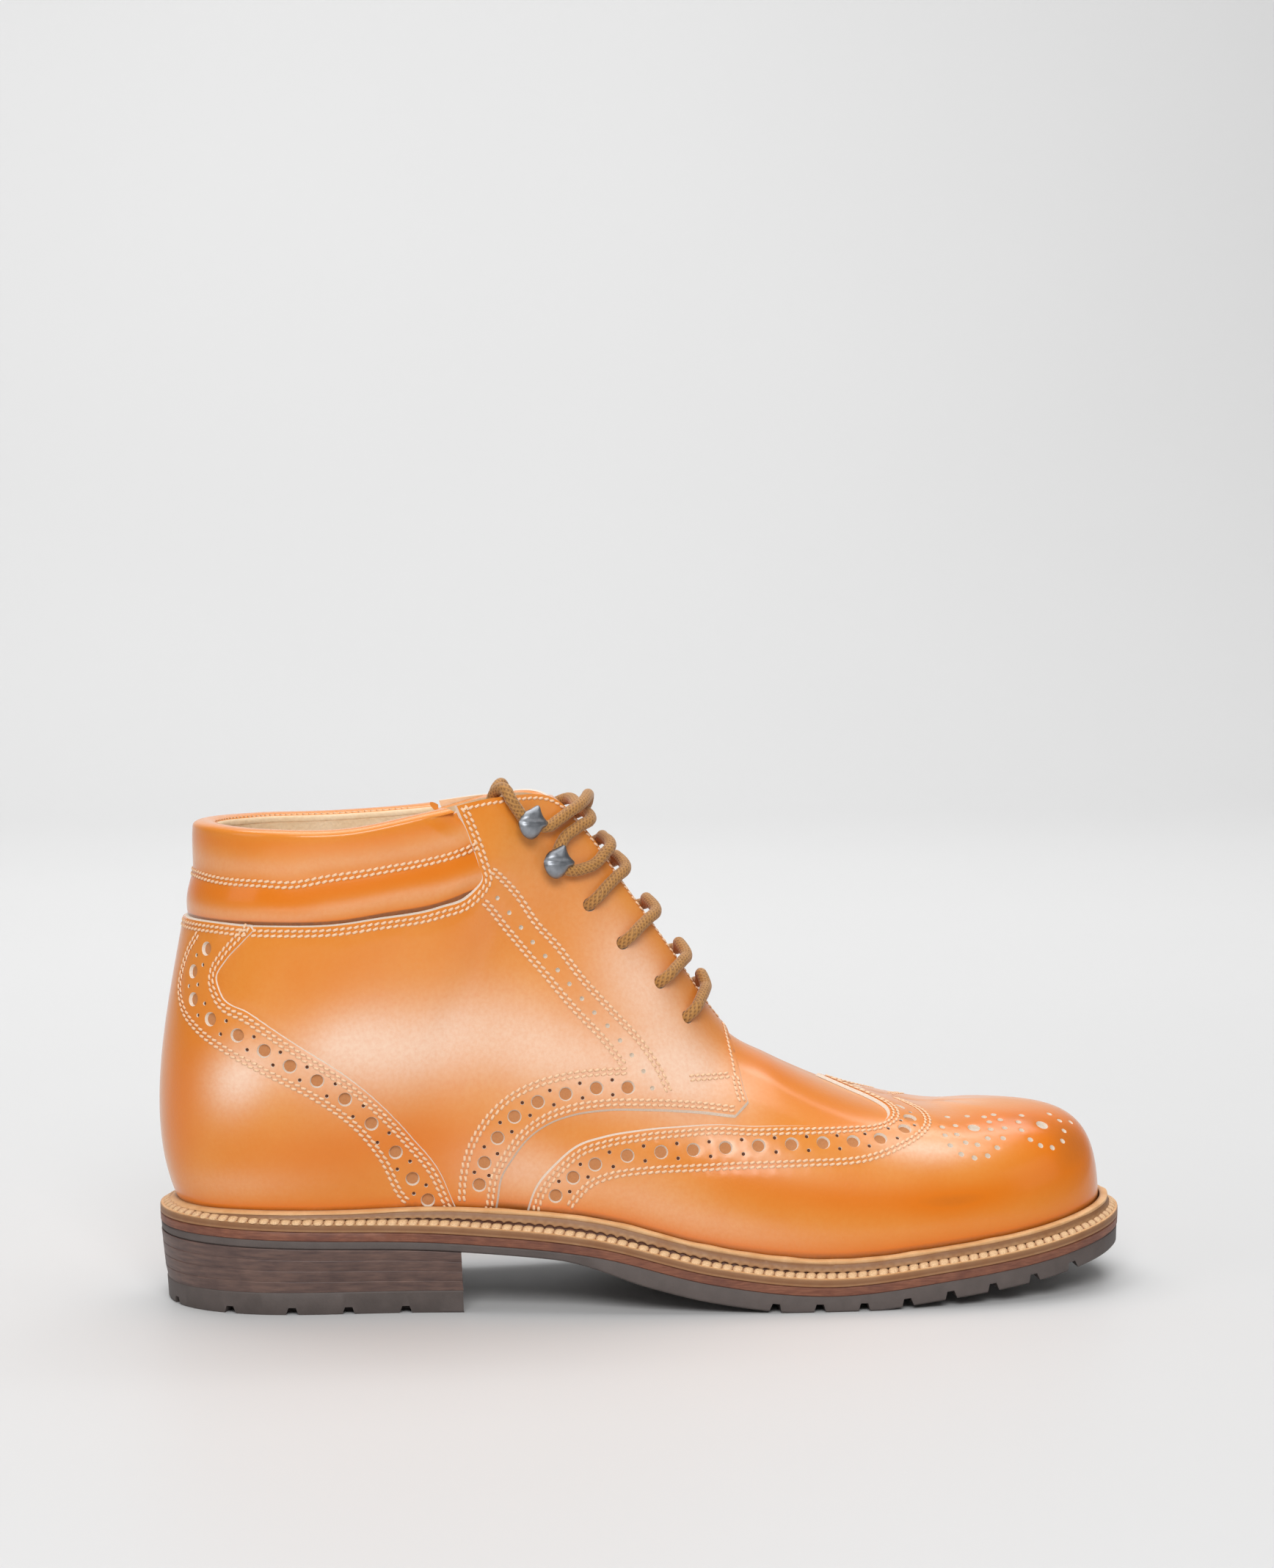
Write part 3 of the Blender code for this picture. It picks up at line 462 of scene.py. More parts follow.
def is_inside(points, loop):
    """Crossing count of a ray to the right, for all points at once."""
    x, y = points[:, 0][:, None], points[:, 1][:, None]
    after = np.roll(loop, -1, 0)
    rise = after[:, 1] - loop[:, 1]
    rise = np.where(np.abs(rise) < 1e-12, 1e-12, rise)
    crossing = loop[:, 0] + (y - loop[:, 1]) * (after[:, 0] - loop[:, 0]) / rise
    straddles = (loop[:, 1] > y) != (after[:, 1] > y)
    return (straddles & (x < crossing)).sum(1) % 2 == 1


def nearest_distance(points, others):
    """Distance of each point to the nearest of the others, worked out in blocks."""
    blocks = []
    for start in range(0, len(points), 1500):
        away = points[start:start + 1500, None] - others[None]
        blocks.append(np.sqrt((away ** 2).sum(-1).min(1)))
    return np.concatenate(blocks)


def punched(places, diameter, sides):
    """Round holes on the tangent plane of the skin, as closed loops of angle and height.

    The rings run anticlockwise seen from outside, so the hole is on their left.
    """
    loops = []
    turn = np.linspace(0, 2 * np.pi, sides, endpoint=False)
    for s, v in np.asarray(places, float):
        n = skin_normal(s, v)
        a = unit(skin(s + 0.5, v) - skin(s - 0.5, v))
        b = np.cross(n, a)
        ring = diameter / 2 * (np.cos(turn)[:, None] * a + np.sin(turn)[:, None] * b)
        ds, dv = skin_step(np.full(sides, s), np.full(sides, v), ring)
        loops.append(np.column_stack([s + ds, np.clip(v + dv, 0, 1)]))
    return loops


GRID_STEP = 1.7
EDGE_ROUND, HOLE_ROUND, SEWN_IN = 0.22, 0.04, 0.16
RAW_FLARE, HOLE_FLARE = 0.6, 0.42
LEVEL_RING = 0.45
LEATHER_CREASE = 42.0


def flared(loop, raw):
    """Loop points moved outward over the leather where the edge is raw, so the cut shows as a bevel."""
    area = (loop[:, 0] * np.roll(loop[:, 1], -1) - np.roll(loop[:, 0], -1) * loop[:, 1]).sum()
    places = skin(*loop.T)
    run = np.roll(places, -1, 0) - np.roll(places, 1, 0)
    outward = -np.sign(area) * unit(np.cross(skin_normal(*loop.T), run))
    ds, dv = skin_step(loop[:, 0], loop[:, 1], outward * RAW_FLARE)
    moved = np.column_stack([loop[:, 0] + ds, np.clip(loop[:, 1] + dv, 0, 1)])
    near = nearest_distance(loop * SCALE, raw * SCALE) < 0.02
    return np.where(near[:, None], moved, loop)


def leather_piece(name, loop, holes, rows, top, bottom, materials, marks=None, step=GRID_STEP, raw=None):
    """A lasted piece of leather: triangulated drawing at two depths, joined by walls round edge and holes.

    top and bottom give the depth beneath the skin for angle and height; rows are stitch lines, where the
    leather is drawn in a little; marks gives point attributes for angle, height and edge distance; raw
    is the part of the edge that is cut and left open.
    """
    loops = [loop] + holes
    feet = [loop if raw is None else flared(loop, raw)]
    for one in holes:
        reach = np.linalg.norm(skin(*one.T) - skin(*one.T).mean(0), axis=1).mean()
        feet.append(one + (one.mean(0) - one) * HOLE_FLARE / reach)
    fixed = np.vstack(loops) * SCALE
    group = np.concatenate([np.full(len(one), k) for k, one in enumerate(loops)])
    edges = []
    for k in range(len(loops)):
        ids = np.flatnonzero(group == k)
        edges += np.column_stack([ids, np.roll(ids, -1)]).tolist()
    low, high = fixed.min(0), fixed.max(0)
    grid = np.stack(np.meshgrid(np.arange(low[0], high[0], step), np.arange(low[1], high[1], step)), -1)
    grid[1::2, :, 0] += step / 2
    grid = grid.reshape(-1, 2)
    grid = grid[is_inside(grid, loop * SCALE)]
    level = [np.zeros((0, 2))]
    for one in holes:
        flat_hole = one * SCALE
        middle = flat_hole.mean(0)
        reach = np.linalg.norm(flat_hole - middle, axis=1).mean()
        level.append(middle + (flat_hole - middle) * (1 + LEVEL_RING / reach))
        close = np.linalg.norm(grid - middle, axis=1) < 1.2 * np.linalg.norm(flat_hole - middle, axis=1).max()
        close[close] = is_inside(grid[close], middle + (flat_hole - middle) * 1.02)
        grid = grid[~close]
    sewn = np.vstack(rows) * SCALE if rows else np.zeros((0, 2))
    if len(sewn):
        sewn = sewn[is_inside(sewn, loop * SCALE)]
        sewn = sewn[nearest_distance(sewn, fixed) > 0.5]
        grid = grid[nearest_distance(grid, sewn) > 0.6 * step]
    grid = grid[nearest_distance(grid, fixed) > 0.6 * step]
    level = np.vstack(level)
    if len(level):
        level = level[is_inside(level, loop * SCALE)]
        level = level[nearest_distance(level, fixed) > 0.8 * LEVEL_RING]
        grid = grid[nearest_distance(grid, level) > 0.4 * step]
    grid = np.vstack([level, grid])
    points = np.vstack([fixed, sewn, grid])
    sunk = np.concatenate([
        np.where(group == 0, EDGE_ROUND, HOLE_ROUND), np.full(len(sewn), SEWN_IN), np.zeros(len(grid))])
    kind = np.concatenate([group, np.full(len(sewn) + len(grid), -1)])
    foot_points = np.vstack([np.vstack(feet) * SCALE, sewn, grid])
    drawn = delaunay_2d_cdt([Vector(p) for p in points.tolist()], edges, [], 0, 1e-6)
    flat = np.array([tuple(p) for p in drawn[0]])
    triangles = np.array(drawn[2])
    origin = np.array([ids[0] if ids else -1 for ids in drawn[3]])
    sunk = np.where(origin >= 0, sunk[origin], 0)
    kind = np.where(origin >= 0, kind[origin], -1)
    foot_flat = np.where(origin[:, None] >= 0, foot_points[origin], flat)
    in_hole = (kind[triangles] > 0).all(1) & (np.ptp(kind[triangles], axis=1) == 0)
    triangles = triangles[~in_hole]
    triangles = triangles[is_inside(flat[triangles].mean(1), loop * SCALE)]
    used, triangles = np.unique(triangles, return_inverse=True)
    triangles = triangles.reshape(-1, 3)
    flat, sunk, foot_flat = flat[used], sunk[used], foot_flat[used]
    s, v = (flat / SCALE).T
    foot_s, foot_v = (foot_flat / SCALE).T
    edge = nearest_distance(flat, loop * SCALE)
    upper_face = under(s, v, top(s, v) + sunk)
    lower_face = under(foot_s, foot_v, bottom(foot_s, foot_v))
    keys = np.round(np.hstack([upper_face, lower_face]) + 0.00037, 3)
    _, keep, merged = np.unique(keys, axis=0, return_index=True, return_inverse=True)
    triangles = merged.reshape(-1)[triangles]
    solid = (triangles[:, 0] != triangles[:, 1]) & (triangles[:, 1] != triangles[:, 2])
    triangles = triangles[solid & (triangles[:, 2] != triangles[:, 0])]
    upper_face, lower_face = upper_face[keep], lower_face[keep]
    count = len(keep)
    sides = np.vstack([triangles[:, [0, 1]], triangles[:, [1, 2]], triangles[:, [2, 0]]])
    rim = sides[~np.isin(sides[:, 0] * count + sides[:, 1], sides[:, 1] * count + sides[:, 0])]
    walls = np.column_stack([rim[:, 0], rim[:, 0] + count, rim[:, 1] + count, rim[:, 1]])
    layers = {}
    for key, values in (marks(s[keep], v[keep], edge[keep]) if marks else {}).items():
        layers[key] = np.concatenate([values, values])
    made = add_piece(
        name, np.vstack([upper_face, lower_face]), [triangles, triangles[:, ::-1] + count, walls], materials,
        np.repeat([0, 2, 1], [len(triangles), len(triangles), len(walls)]), LEATHER_CREASE, layers)
    print(name, "triangles", 2 * len(triangles) + 2 * len(walls))
    return made


# %% [markdown]
# Materials. One function turns a hex colour to linear, one fills a node's inputs and one adds a node. Every
# pattern size below is a real size in millimetres, turned to a texture scale as one over metres. A colour mix
# takes its two colours by number, since its sockets share their names.

# %% Material helpers
LOW, HIGH, MIXED = 6, 7, 2


def linear(hex_colour):
    """Linear red, green, blue, alpha of an sRGB hex value."""
    value = np.array([int(hex_colour[k:k + 2], 16) for k in (1, 3, 5)]) / 255
    value = np.where(value <= 0.04045, value / 12.92, ((value + 0.055) / 1.055) ** 2.4)
    return (*value.tolist(), 1.0)


def plug(tree, node, fill):
    """Give a node's inputs a value, a hex colour or a link each."""
    for key, value in fill.items():
        if isinstance(value, bpy.types.NodeSocket):
            tree.links.new(value, node.inputs[key])
        else:
            node.inputs[key].default_value = linear(value) if isinstance(value, str) else value


def add(tree, kind, fill=None, out=0, **settings):
    """One shader node: settings are its properties, fill its inputs; gives the output asked for."""
    made = tree.nodes.new("ShaderNode" + kind)
    for key, value in settings.items():
        setattr(made, key, value)
    plug(tree, made, fill or {})
    return made.outputs[out]


def start_material(name, **constants):
    """A new node material: its tree, its shader with constant sockets set, and its object coordinates."""
    made = bpy.data.materials.new(name)
    made.use_nodes = True
    tree = made.node_tree
    shader = tree.nodes["Principled BSDF"]
    for key, value in constants.items():
        shader.inputs[key.replace("_", " ").title().replace("Ior", "IOR")].default_value = value
    where = add(tree, "TexCoord", out="Object")
    return made, tree, shader, where


def per_mm(size):
    """Texture scale whose features are about the given size in millimetres."""
    return 1.0 / (size * MM)


print("material helpers ready")

# %% [markdown]
# Leathers and thread. The calf is dyed through, burnished dark by hand beside seams, then waxed to a clear
# gloss: layers of colour by shares that the pieces carry, under a coat. Some shares are painted light: a pale
# painted sheen where the leather faces the soft boxes, and painted shade in the crevices above the welt and
# under the collar. A painted picture could hold the same marks; shares on the points need none.


# %% Leather finishes
def burnished_calf(name, deep, mid, pale, painted_sheen_colour, crevice_shade_colour):
    """Aniline calf, burnished by hand: a clear glossy coat over mottled dye, fine pores, no print."""
    made, tree, shader, where = start_material(
        name, coat_weight=0.8, coat_roughness=0.2, coat_ior=1.5, specular_ior_level=0.15)
    cloud = add(tree, "TexNoise", {"Vector": where, "Scale": per_mm(26.0), "Detail": 4.0, "Roughness": 0.55})
    mottle = add(tree, "MapRange", {"Value": cloud, "From Min": 0.3, "From Max": 0.7})
    burn = add(tree, "Attribute", out="Fac", attribute_name="burnish")
    polish = add(tree, "Attribute", out="Fac", attribute_name="polish")
    # Shares above 1 are painted shade in the crevices above the welt and under the collar, in a dark brown.
    crevice_shade_share = add(tree, "MapRange", {"Value": burn, "From Min": 1.0, "From Max": 2.0})
    speck = add(tree, "TexNoise", {"Vector": where, "Scale": per_mm(1.3), "Detail": 3.0, "Roughness": 0.6})
    fleck = add(tree, "MapRange", {"Value": speck, "From Min": 0.35, "From Max": 0.75, "To Max": 0.22})
    colour = mid
    # In turn: mottled dye, dark wax with painted shade, painted sheen of the soft boxes' highlights, painted
    # crevice shade, dark flecks of dye.
    for share, over in ((mottle, pale), (burn, deep), (polish, painted_sheen_colour), (crevice_shade_share, crevice_shade_colour), (fleck, deep)):
        colour = add(tree, "Mix", {"Factor": share, LOW: colour, HIGH: over}, MIXED, data_type="RGBA")
    dull = add(tree, "MapRange", {
        "Value": cloud, "From Min": 0.2, "From Max": 0.8, "To Min": 0.32, "To Max": 0.42})
    grain = add(tree, "TexVoronoi", {"Vector": where, "Scale": per_mm(0.9)}, "Distance")
    wave = add(tree, "TexNoise", {"Vector": where, "Scale": per_mm(2.6), "Detail": 3.0, "Roughness": 0.6})
    height = add(tree, "Math", {0: grain, 1: wave}, operation="ADD")
    relief = add(tree, "Bump", {"Height": height, "Distance": 0.07 * MM, "Strength": 0.45})
    plug(tree, shader, {"Base Color": colour, "Roughness": dull, "Normal": relief})
    return made


def raw_edge():
    """Cut edge of vegetable tanned leather: pale, fibrous and dull."""
    made, tree, shader, where = start_material("raw leather edge", roughness=0.85)
    fibre = add(tree, "TexNoise", {"Vector": where, "Scale": per_mm(0.5), "Detail": 2.0})
    colour = add(tree, "Mix", {"Factor": fibre, LOW: "#D6C4B0", HIGH: "#F4EADC"}, MIXED, data_type="RGBA")
    relief = add(tree, "Bump", {"Height": fibre, "Distance": 0.1 * MM, "Strength": 0.6})
    plug(tree, shader, {"Base Color": colour, "Normal": relief})
    return made


def lining_leather():
    """Undyed pigskin lining: beige, matt, with a fine pebble grain."""
    made, tree, shader, where = start_material("undyed lining leather", roughness=0.62)
    cloud = add(tree, "TexNoise", {"Vector": where, "Scale": per_mm(12.0), "Detail": 3.0})
    share = add(tree, "MapRange", {"Value": cloud, "From Min": 0.3, "From Max": 0.7})
    colour = add(tree, "Mix", {"Factor": share, LOW: "#EFCFA4", HIGH: "#F6DEBC"}, MIXED, data_type="RGBA")
    cell = add(tree, "TexVoronoi", {"Vector": where, "Scale": per_mm(1.4)}, "Distance")
    relief = add(tree, "Bump", {"Height": cell, "Distance": 0.14 * MM, "Strength": 0.8})
    plug(tree, shader, {"Base Color": colour, "Normal": relief})
    return made


def waxed_thread(name, pale, dark):
    """Waxed linen thread: pale where it lies on the leather, with painted shade where it goes into its prick.
    """
    made, tree, shader, where = start_material(name, roughness=0.55)
    ends = add(tree, "Attribute", out="Fac", attribute_name="painted_thread_shade")
    twist = add(tree, "TexNoise", {"Vector": where, "Scale": per_mm(0.4), "Detail": 1.0})
    share = add(tree, "MapRange", {"Value": twist, "From Min": 0.3, "From Max": 0.7, "To Max": 0.35})
    colour = add(tree, "Mix", {"Factor": share, LOW: pale, HIGH: dark}, MIXED, data_type="RGBA")
    colour = add(tree, "Mix", {"Factor": ends, LOW: colour, HIGH: dark}, MIXED, data_type="RGBA")
    plug(tree, shader, {"Base Color": colour})
    return made


def backing_leather(name, low, high):
    """Matt floor seen at the bottom of the holes: pale leather, or a darker colour that paints the shade
    there.
    """
    made, tree, shader, where = start_material(name, roughness=0.8)
    fibre = add(tree, "TexNoise", {"Vector": where, "Scale": per_mm(0.6), "Detail": 3.0})
    colour = add(tree, "Mix", {"Factor": fibre, LOW: low, HIGH: high}, MIXED, data_type="RGBA")
    plug(tree, shader, {"Base Color": colour})
    return made


pale_backing = backing_leather("pale backing leather", "#C4B4A2", "#DDD0C2")
# Painted shade for the large holes' floors, painted shadow for the small ones.
painted_shade_backing = backing_leather("shaded hole floor leather", "#B87442", "#CA8C5A")
painted_shadow_backing = backing_leather("shadowed backing leather", "#4A2410", "#6A3818")
# Colours: deep, mid and pale dye, then the painted sheen #F6D0B4 and the painted crevice shade #804A22.
calf = burnished_calf("burnished tan calf", "#E07606", "#E0862A", "#E4923C", "#F6D0B4", "#804A22")
edge_leather = raw_edge()
lining = lining_leather()
thread = waxed_thread("waxed tan thread", "#FFD8B0", "#AC6C3C")
print("leather finishes:", calf.name, edge_leather.name, lining.name)

# %% [markdown]
# Cords come early. The lace is a round braided cord of about 3.8 mm. Each bar rises through an eyelet or
# from behind a hook, crosses the facing, arches over the gap and goes down on the other side. The ends go
# over the rim and down inside the shaft. The braid is two families of strands wound in opposite
# directions, modelled as a small swell of the radius.

# %% Lace routes
ROW_1 = [(93.7, 0.76), (93.5, 0.88), (93.2, 1.0)]
ROW_2 = [(99.0, 0.78), (98.3, 0.89), (97.6, 1.0)]
ROW_3 = [(105.3, 0.777), (104.5, 0.88), (103.6, 1.0)]
ROW_4 = [(111.0, 0.783), (110.1, 0.89), (109.2, 1.0)]
LOW_HOOK_DOWN = [(117.3, 0.80), (115.4, 0.81), (113.4, 0.86), (112.0, 1.0)]
LOW_HOOK_UP = [(118.5, 0.825), (118.4, 0.87), (117.2, 0.93), (115.9, 1.0)]
HIGH_HOOK_DOWN = [(123.5, 0.895), (121.6, 0.885), (119.8, 0.93), (118.2, 1.0)]
LACE_BARS = [
    # piece, node, lateral and medial routes as angle and height, arch up the gap and outward over it
    ("lace_bar_1", "lace_row_1", ROW_1, ROW_1, 3.0, 1.2),
    ("lace_bar_2", "lace_row_2", ROW_2, ROW_2, 3.0, 1.2),
    ("lace_bar_3", "lace_row_3", ROW_3, ROW_3, 3.0, 1.2),
    ("lace_bar_4", "lace_row_4", ROW_4, ROW_4, 3.0, 1.2),
    ("lace_bar_5", "lace_row_5", LOW_HOOK_DOWN, LOW_HOOK_DOWN, 2.0, 1.2),
    ("lace_bar_6", "lace_row_6", LOW_HOOK_UP, HIGH_HOOK_DOWN, 0.0, 1.6),
    ("lace_bar_7", "lace_row_7", HIGH_HOOK_DOWN, LOW_HOOK_UP, 0.0, 6.4),
]
HOOK_PLACES = [(118.1, 0.803), (124.3, 0.90)]
LACE_LIFT = LACE_RADIUS + 0.6
EYELET_ROWS = 4


def braided_cotton():
    """Braided cotton cord: golden crowns of each strand, and brown painted shade in the gaps between them."""
    made, tree, shader, where = start_material("braided cotton", roughness=0.7, sheen_weight=0.25)
    crown = add(tree, "Attribute", out="Fac", attribute_name="crown")
    fibre = add(tree, "TexNoise", {"Vector": where, "Scale": per_mm(0.5), "Detail": 2.0})
    worn = add(tree, "MapRange", {"Value": fibre, "From Min": 0.35, "From Max": 0.85, "To Max": 0.4})
    # Colour by strand height: the brown in the gaps is painted shade.
    colour = add(tree, "Mix", {"Factor": crown, LOW: "#6A3E12", HIGH: "#BA823C"}, MIXED, data_type="RGBA")
    colour = add(tree, "Mix", {"Factor": worn, LOW: colour, HIGH: "#D2A260"}, MIXED, data_type="RGBA")
    relief = add(tree, "Bump", {"Height": fibre, "Distance": 0.08 * MM, "Strength": 0.5})
    plug(tree, shader, {"Base Color": colour, "Normal": relief})
    return made


cotton = braided_cotton()


def smooth_path(points, spacing):
    """Even points on a cubic through the route, parameter by chord length."""
    points = np.asarray(points, float)
    chord = np.concatenate([[0], np.cumsum(np.linalg.norm(np.diff(points, axis=0), axis=1))])
    at = np.linspace(0, chord[-1], max(int(chord[-1] / spacing), 2))
    return np.column_stack([smooth(at, chord, points[:, k]) for k in range(3)])


CORD_SIDES = 24
CORD_CREASE = 60.0
CORD_STEP = 0.35
STRANDS = 12
BRAID_LAY = 9.0


def braided_cord(name, path, reference):
    """A tube along the path; radius swells where strands of the two windings come up in turn."""
    tangent = unit(np.gradient(path, axis=0))
    across = unit(reference - (tangent * reference).sum(-1, keepdims=True) * tangent)
    other = np.cross(tangent, across)
    run = np.concatenate([[0], np.cumsum(np.linalg.norm(np.diff(path, axis=0), axis=1))])[:, None]
    turn = np.linspace(0, 2 * np.pi, CORD_SIDES, endpoint=False)[None]
    lay = 2 * np.pi * run / BRAID_LAY
    one = np.cos(STRANDS / 2 * (turn + lay))
    two = np.cos(STRANDS / 2 * (turn - lay))
    crown = np.maximum(one, two)
    radius = LACE_RADIUS * (0.93 + 0.08 * crown)
    rings = path[:, None] + radius[..., None] * (
        np.cos(turn)[..., None] * across[:, None] + np.sin(turn)[..., None] * other[:, None])
    return add_piece(
        name, rings.reshape(-1, 3), tube_faces(len(path), CORD_SIDES), [cotton], None, CORD_CREASE,
        {"crown": np.clip(crown.reshape(-1) * 0.75 + 0.3, 0, 1)})


def half_bar(route, side, through):
    """Points from the eyelet or hook up to the facing edge, on one side."""
    places = trace(route, 3.0)
    lifted = under(side * places[:, 0], places[:, 1], -LACE_LIFT)
    if not through:
        return lifted
    s, v = route[0]
    hole = under(side * np.array([s, s]), np.array([v, v]), np.array([3.6, 0.8]))
    return np.vstack([hole, lifted[1:]])


def facing_up(angle):
    """Unit direction up the gap between the facings."""
    ends = [(skin(-a, 1.0) + skin(a, 1.0)) / 2 for a in (angle, angle + 4)]
    return unit(ends[1] - ends[0])


def whole_bar(lateral, medial, climb, arch, through):
    """Both halves and the arch between them, a little up the facing and outward."""
    left = half_bar(lateral, -1, through)
    rest = half_bar(medial, 1, through)
    up = facing_up((lateral[-1][0] + medial[-1][0]) / 2)
    middle = (left[-1] + rest[-1]) / 2 + up * climb + np.array([up[2], 0.0, -up[0]]) * arch
    return np.vstack([left, middle[None], rest[::-1]]), up


for number, (piece_name, node, lateral, medial, climb, arch) in enumerate(LACE_BARS):
    points, up = whole_bar(lateral, medial, climb, arch, number < EYELET_ROWS)
    bar = braided_cord(piece_name, smooth_path(points, CORD_STEP), up)
    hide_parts(node)
print("lace bars:", len(LACE_BARS))

# %% [markdown]
# The two ends of the lace leave the top hooks, bend over the rim and hang inside the shaft. The picture
# shows only the near one, as one loop, so the far one leans back less and stays behind it. Each is a cord of
# its own, with its real length.

# %% Lace ends
END_ROUTE = [
    # angle, height, depth beneath the skin
    (125.1, 0.912, -LACE_LIFT + 0.2),
    (126.3, 0.945, -LACE_LIFT - 0.4),
    (127.3, 0.98, -LACE_LIFT - 0.5)]
END_INSIDE = [(128.0, 0.975, 7.9), (128.1, 0.92, 8.7), (128.2, 0.86, 9.1), (128.3, 0.80, 9.3)]
RIM_ROUTE = [(127.7, -0.6), (127.9, 4.2)]
RIM_CLEAR = LACE_RADIUS + 0.4
END_FROM = 124.6
END_LEANS = ((-1, "lateral", 1.0), (1, "medial", 0.5))


def end_angle(side, angle, lean):
    """Signed angle on an end's route: its way back from the hook, times the lean."""
    return side * (END_FROM + (angle - END_FROM) * lean)


for side, word, lean in END_LEANS:
    outside = np.array([under(end_angle(side, a, lean), v, d) for a, v, d in END_ROUTE])
    over = np.array([under(end_angle(side, a, lean), 1.0, d) for a, d in RIM_ROUTE])
    over = over + np.array([0, 0, RIM_CLEAR])
    down = np.array([under(end_angle(side, a, lean), v, d) for a, v, d in END_INSIDE])
    path = smooth_path(np.vstack([outside, over, down]), CORD_STEP)
    tail = braided_cord("lace_tail_" + word, path, np.array([1.0, 0.0, 0.0]))
    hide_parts("lace_end_" + word)

# %% [markdown]
# Upper pieces. The base shell is the vamp outside and the lining inside, with the eyelets punched right
# through. Wing, quarters and counter lie on it as in the real boot, each with its raw edge.

# %% Lines on the leather
EDGE_STEP = 1.0
FOOT_V = 0.03


def joined(*parts):
    """Curves end to end, without repeated points."""
    rows = [parts[0]]
    for part in parts[1:]:
        rows.append(part[1:] if np.allclose(part[0], rows[-1][-1], atol=1e-6) else part)
    return np.vstack(rows)


def line(start, stop, spacing=EDGE_STEP):
    """A straight line in angle and height with even points."""
    start, stop = np.asarray(start, float), np.asarray(stop, float)
    count = max(int(np.linalg.norm((stop - start) * SCALE) / spacing), 1)
    return start + (stop - start) * np.linspace(0, 1, count + 1)[:, None]


wing_places = np.vstack([on_skin(WING_EDGE_PX), [(-WING_PEAK[0], WING_PEAK[1])]])
wing_places[0, 1] = FOOT_V
wing_edge = trace(wing_places, EDGE_STEP)
quarter_edge = trace(np.vstack([[(-110.6, FOOT_V)], on_skin(QUARTER_EDGE_PX)]), EDGE_STEP)
quarter_corner = trace(on_skin(QUARTER_CORNER_PX), EDGE_STEP)
facing_foot = trace(np.vstack([on_skin(FACING_FOOT_PX), [(-86.7, 1.0)]]), EDGE_STEP)
collar_places = np.vstack([on_skin(COLLAR_SEAM_PX), [(-133.7, 1.0)]])
collar_seam = trace(collar_places, EDGE_STEP)
counter_edge = trace(np.vstack([on_skin(COUNTER_EDGE_PX)[:-1], [(-114.9, FOOT_V)]]), EDGE_STEP)
print("wing edge points", len(wing_edge), "collar seam points", len(collar_seam))

# %% [markdown]
# A brogue's holes are punched in a row beside each edge: a large one, then a pair of small ones. The large
# ones are read from the picture; the pairs are set half way between them, across the row.

# %% Holes
LARGE_HOLE, SMALL_HOLE, PIN_HOLE, EYELET = 4.4, 1.3, 1.5, 4.6
MEDALLION_HOLE, MEDALLION_PRICK = 4.0, 1.9
TWINS_APART = 4.6


def twins(places, apart=TWINS_APART):
    """Pairs of small holes between neighbouring large ones, apart across the row by millimetres."""
    middle = (places[:-1] + places[1:]) / 2
    s, v = middle.T
    along = unit(skin(*places[1:].T) - skin(*places[:-1].T))
    side = np.cross(skin_normal(s, v), along)
    pairs = []
    for sign in (-1, 1):
        ds, dv = skin_step(s, v, side * sign * apart / 2)
        pairs.append(np.column_stack([s + ds, np.clip(v + dv, 0, 1)]))
    return np.vstack(pairs)


wing_large = on_skin(WING_HOLES_PX)
peak_large = np.array([(-56.5, 0.975)])
wing_small = twins(wing_large)
quarter_large = on_skin(QUARTER_HOLES_PX)
quarter_small = twins(quarter_large)
pins = on_skin(EYESTAY_HOLES_PX)
counter_large = on_skin(COUNTER_HOLES_PX)
counter_small = twins(counter_large)
eyelets = np.array([row[0] for row in (ROW_1, ROW_2, ROW_3, ROW_4)]) * np.array([-1.0, 1.0])
medallion_large = on_skin(MEDALLION_LARGE_PX)
medallion_small = on_skin(MEDALLION_SMALL_PX)
print("large holes:", 2 * (len(wing_large) + len(quarter_large) + len(counter_large)))

# %% [markdown]
# Burnish is dark wax rubbed into the dye; the same share also paints shade where the leather turns from the
# light. A pale painted sheen stands for the soft boxes' broad highlights on the swells. Both are soft spots
# placed on the last, with a dark wax line beside each cut edge, where wax gathers, and a line of painted
# shade above the welt, where the upper meets the lip.

# %% Burnish, painted shade and painted sheen
# Darkening spots: partly dark wax in the dye, partly painted shade where the leather turns from the light.
BURN_AND_SHADE_SPOTS = [
    # angle, height, angle spread, height spread, weight
    (138, 0.19, 14, 0.08, 0.7), (168, 0.34, 7, 0.22, 0.8), (122, 0.21, 9, 0.05, 0.5),
    (117, 0.15, 6, 0.06, 0.4), (68, 0.28, 20, 0.07, 0.8), (47, 0.25, 14, 0.08, 0.4),
    (20, 0.42, 16, 0.22, 0.9), (66, 0.68, 10, 0.13, 0.45), (77, 0.84, 9, 0.12, 0.7),
    (140, 0.64, 22, 0.1, 0.3), (14, 0.35, 16, 0.3, 0.4), (31, 0.25, 14, 0.13, 0.35),
    (51, 0.22, 9, 0.06, 0.5), (32, 0.66, 16, 0.13, 0.9), (62, 0.1, 26, 0.05, 0.5)]
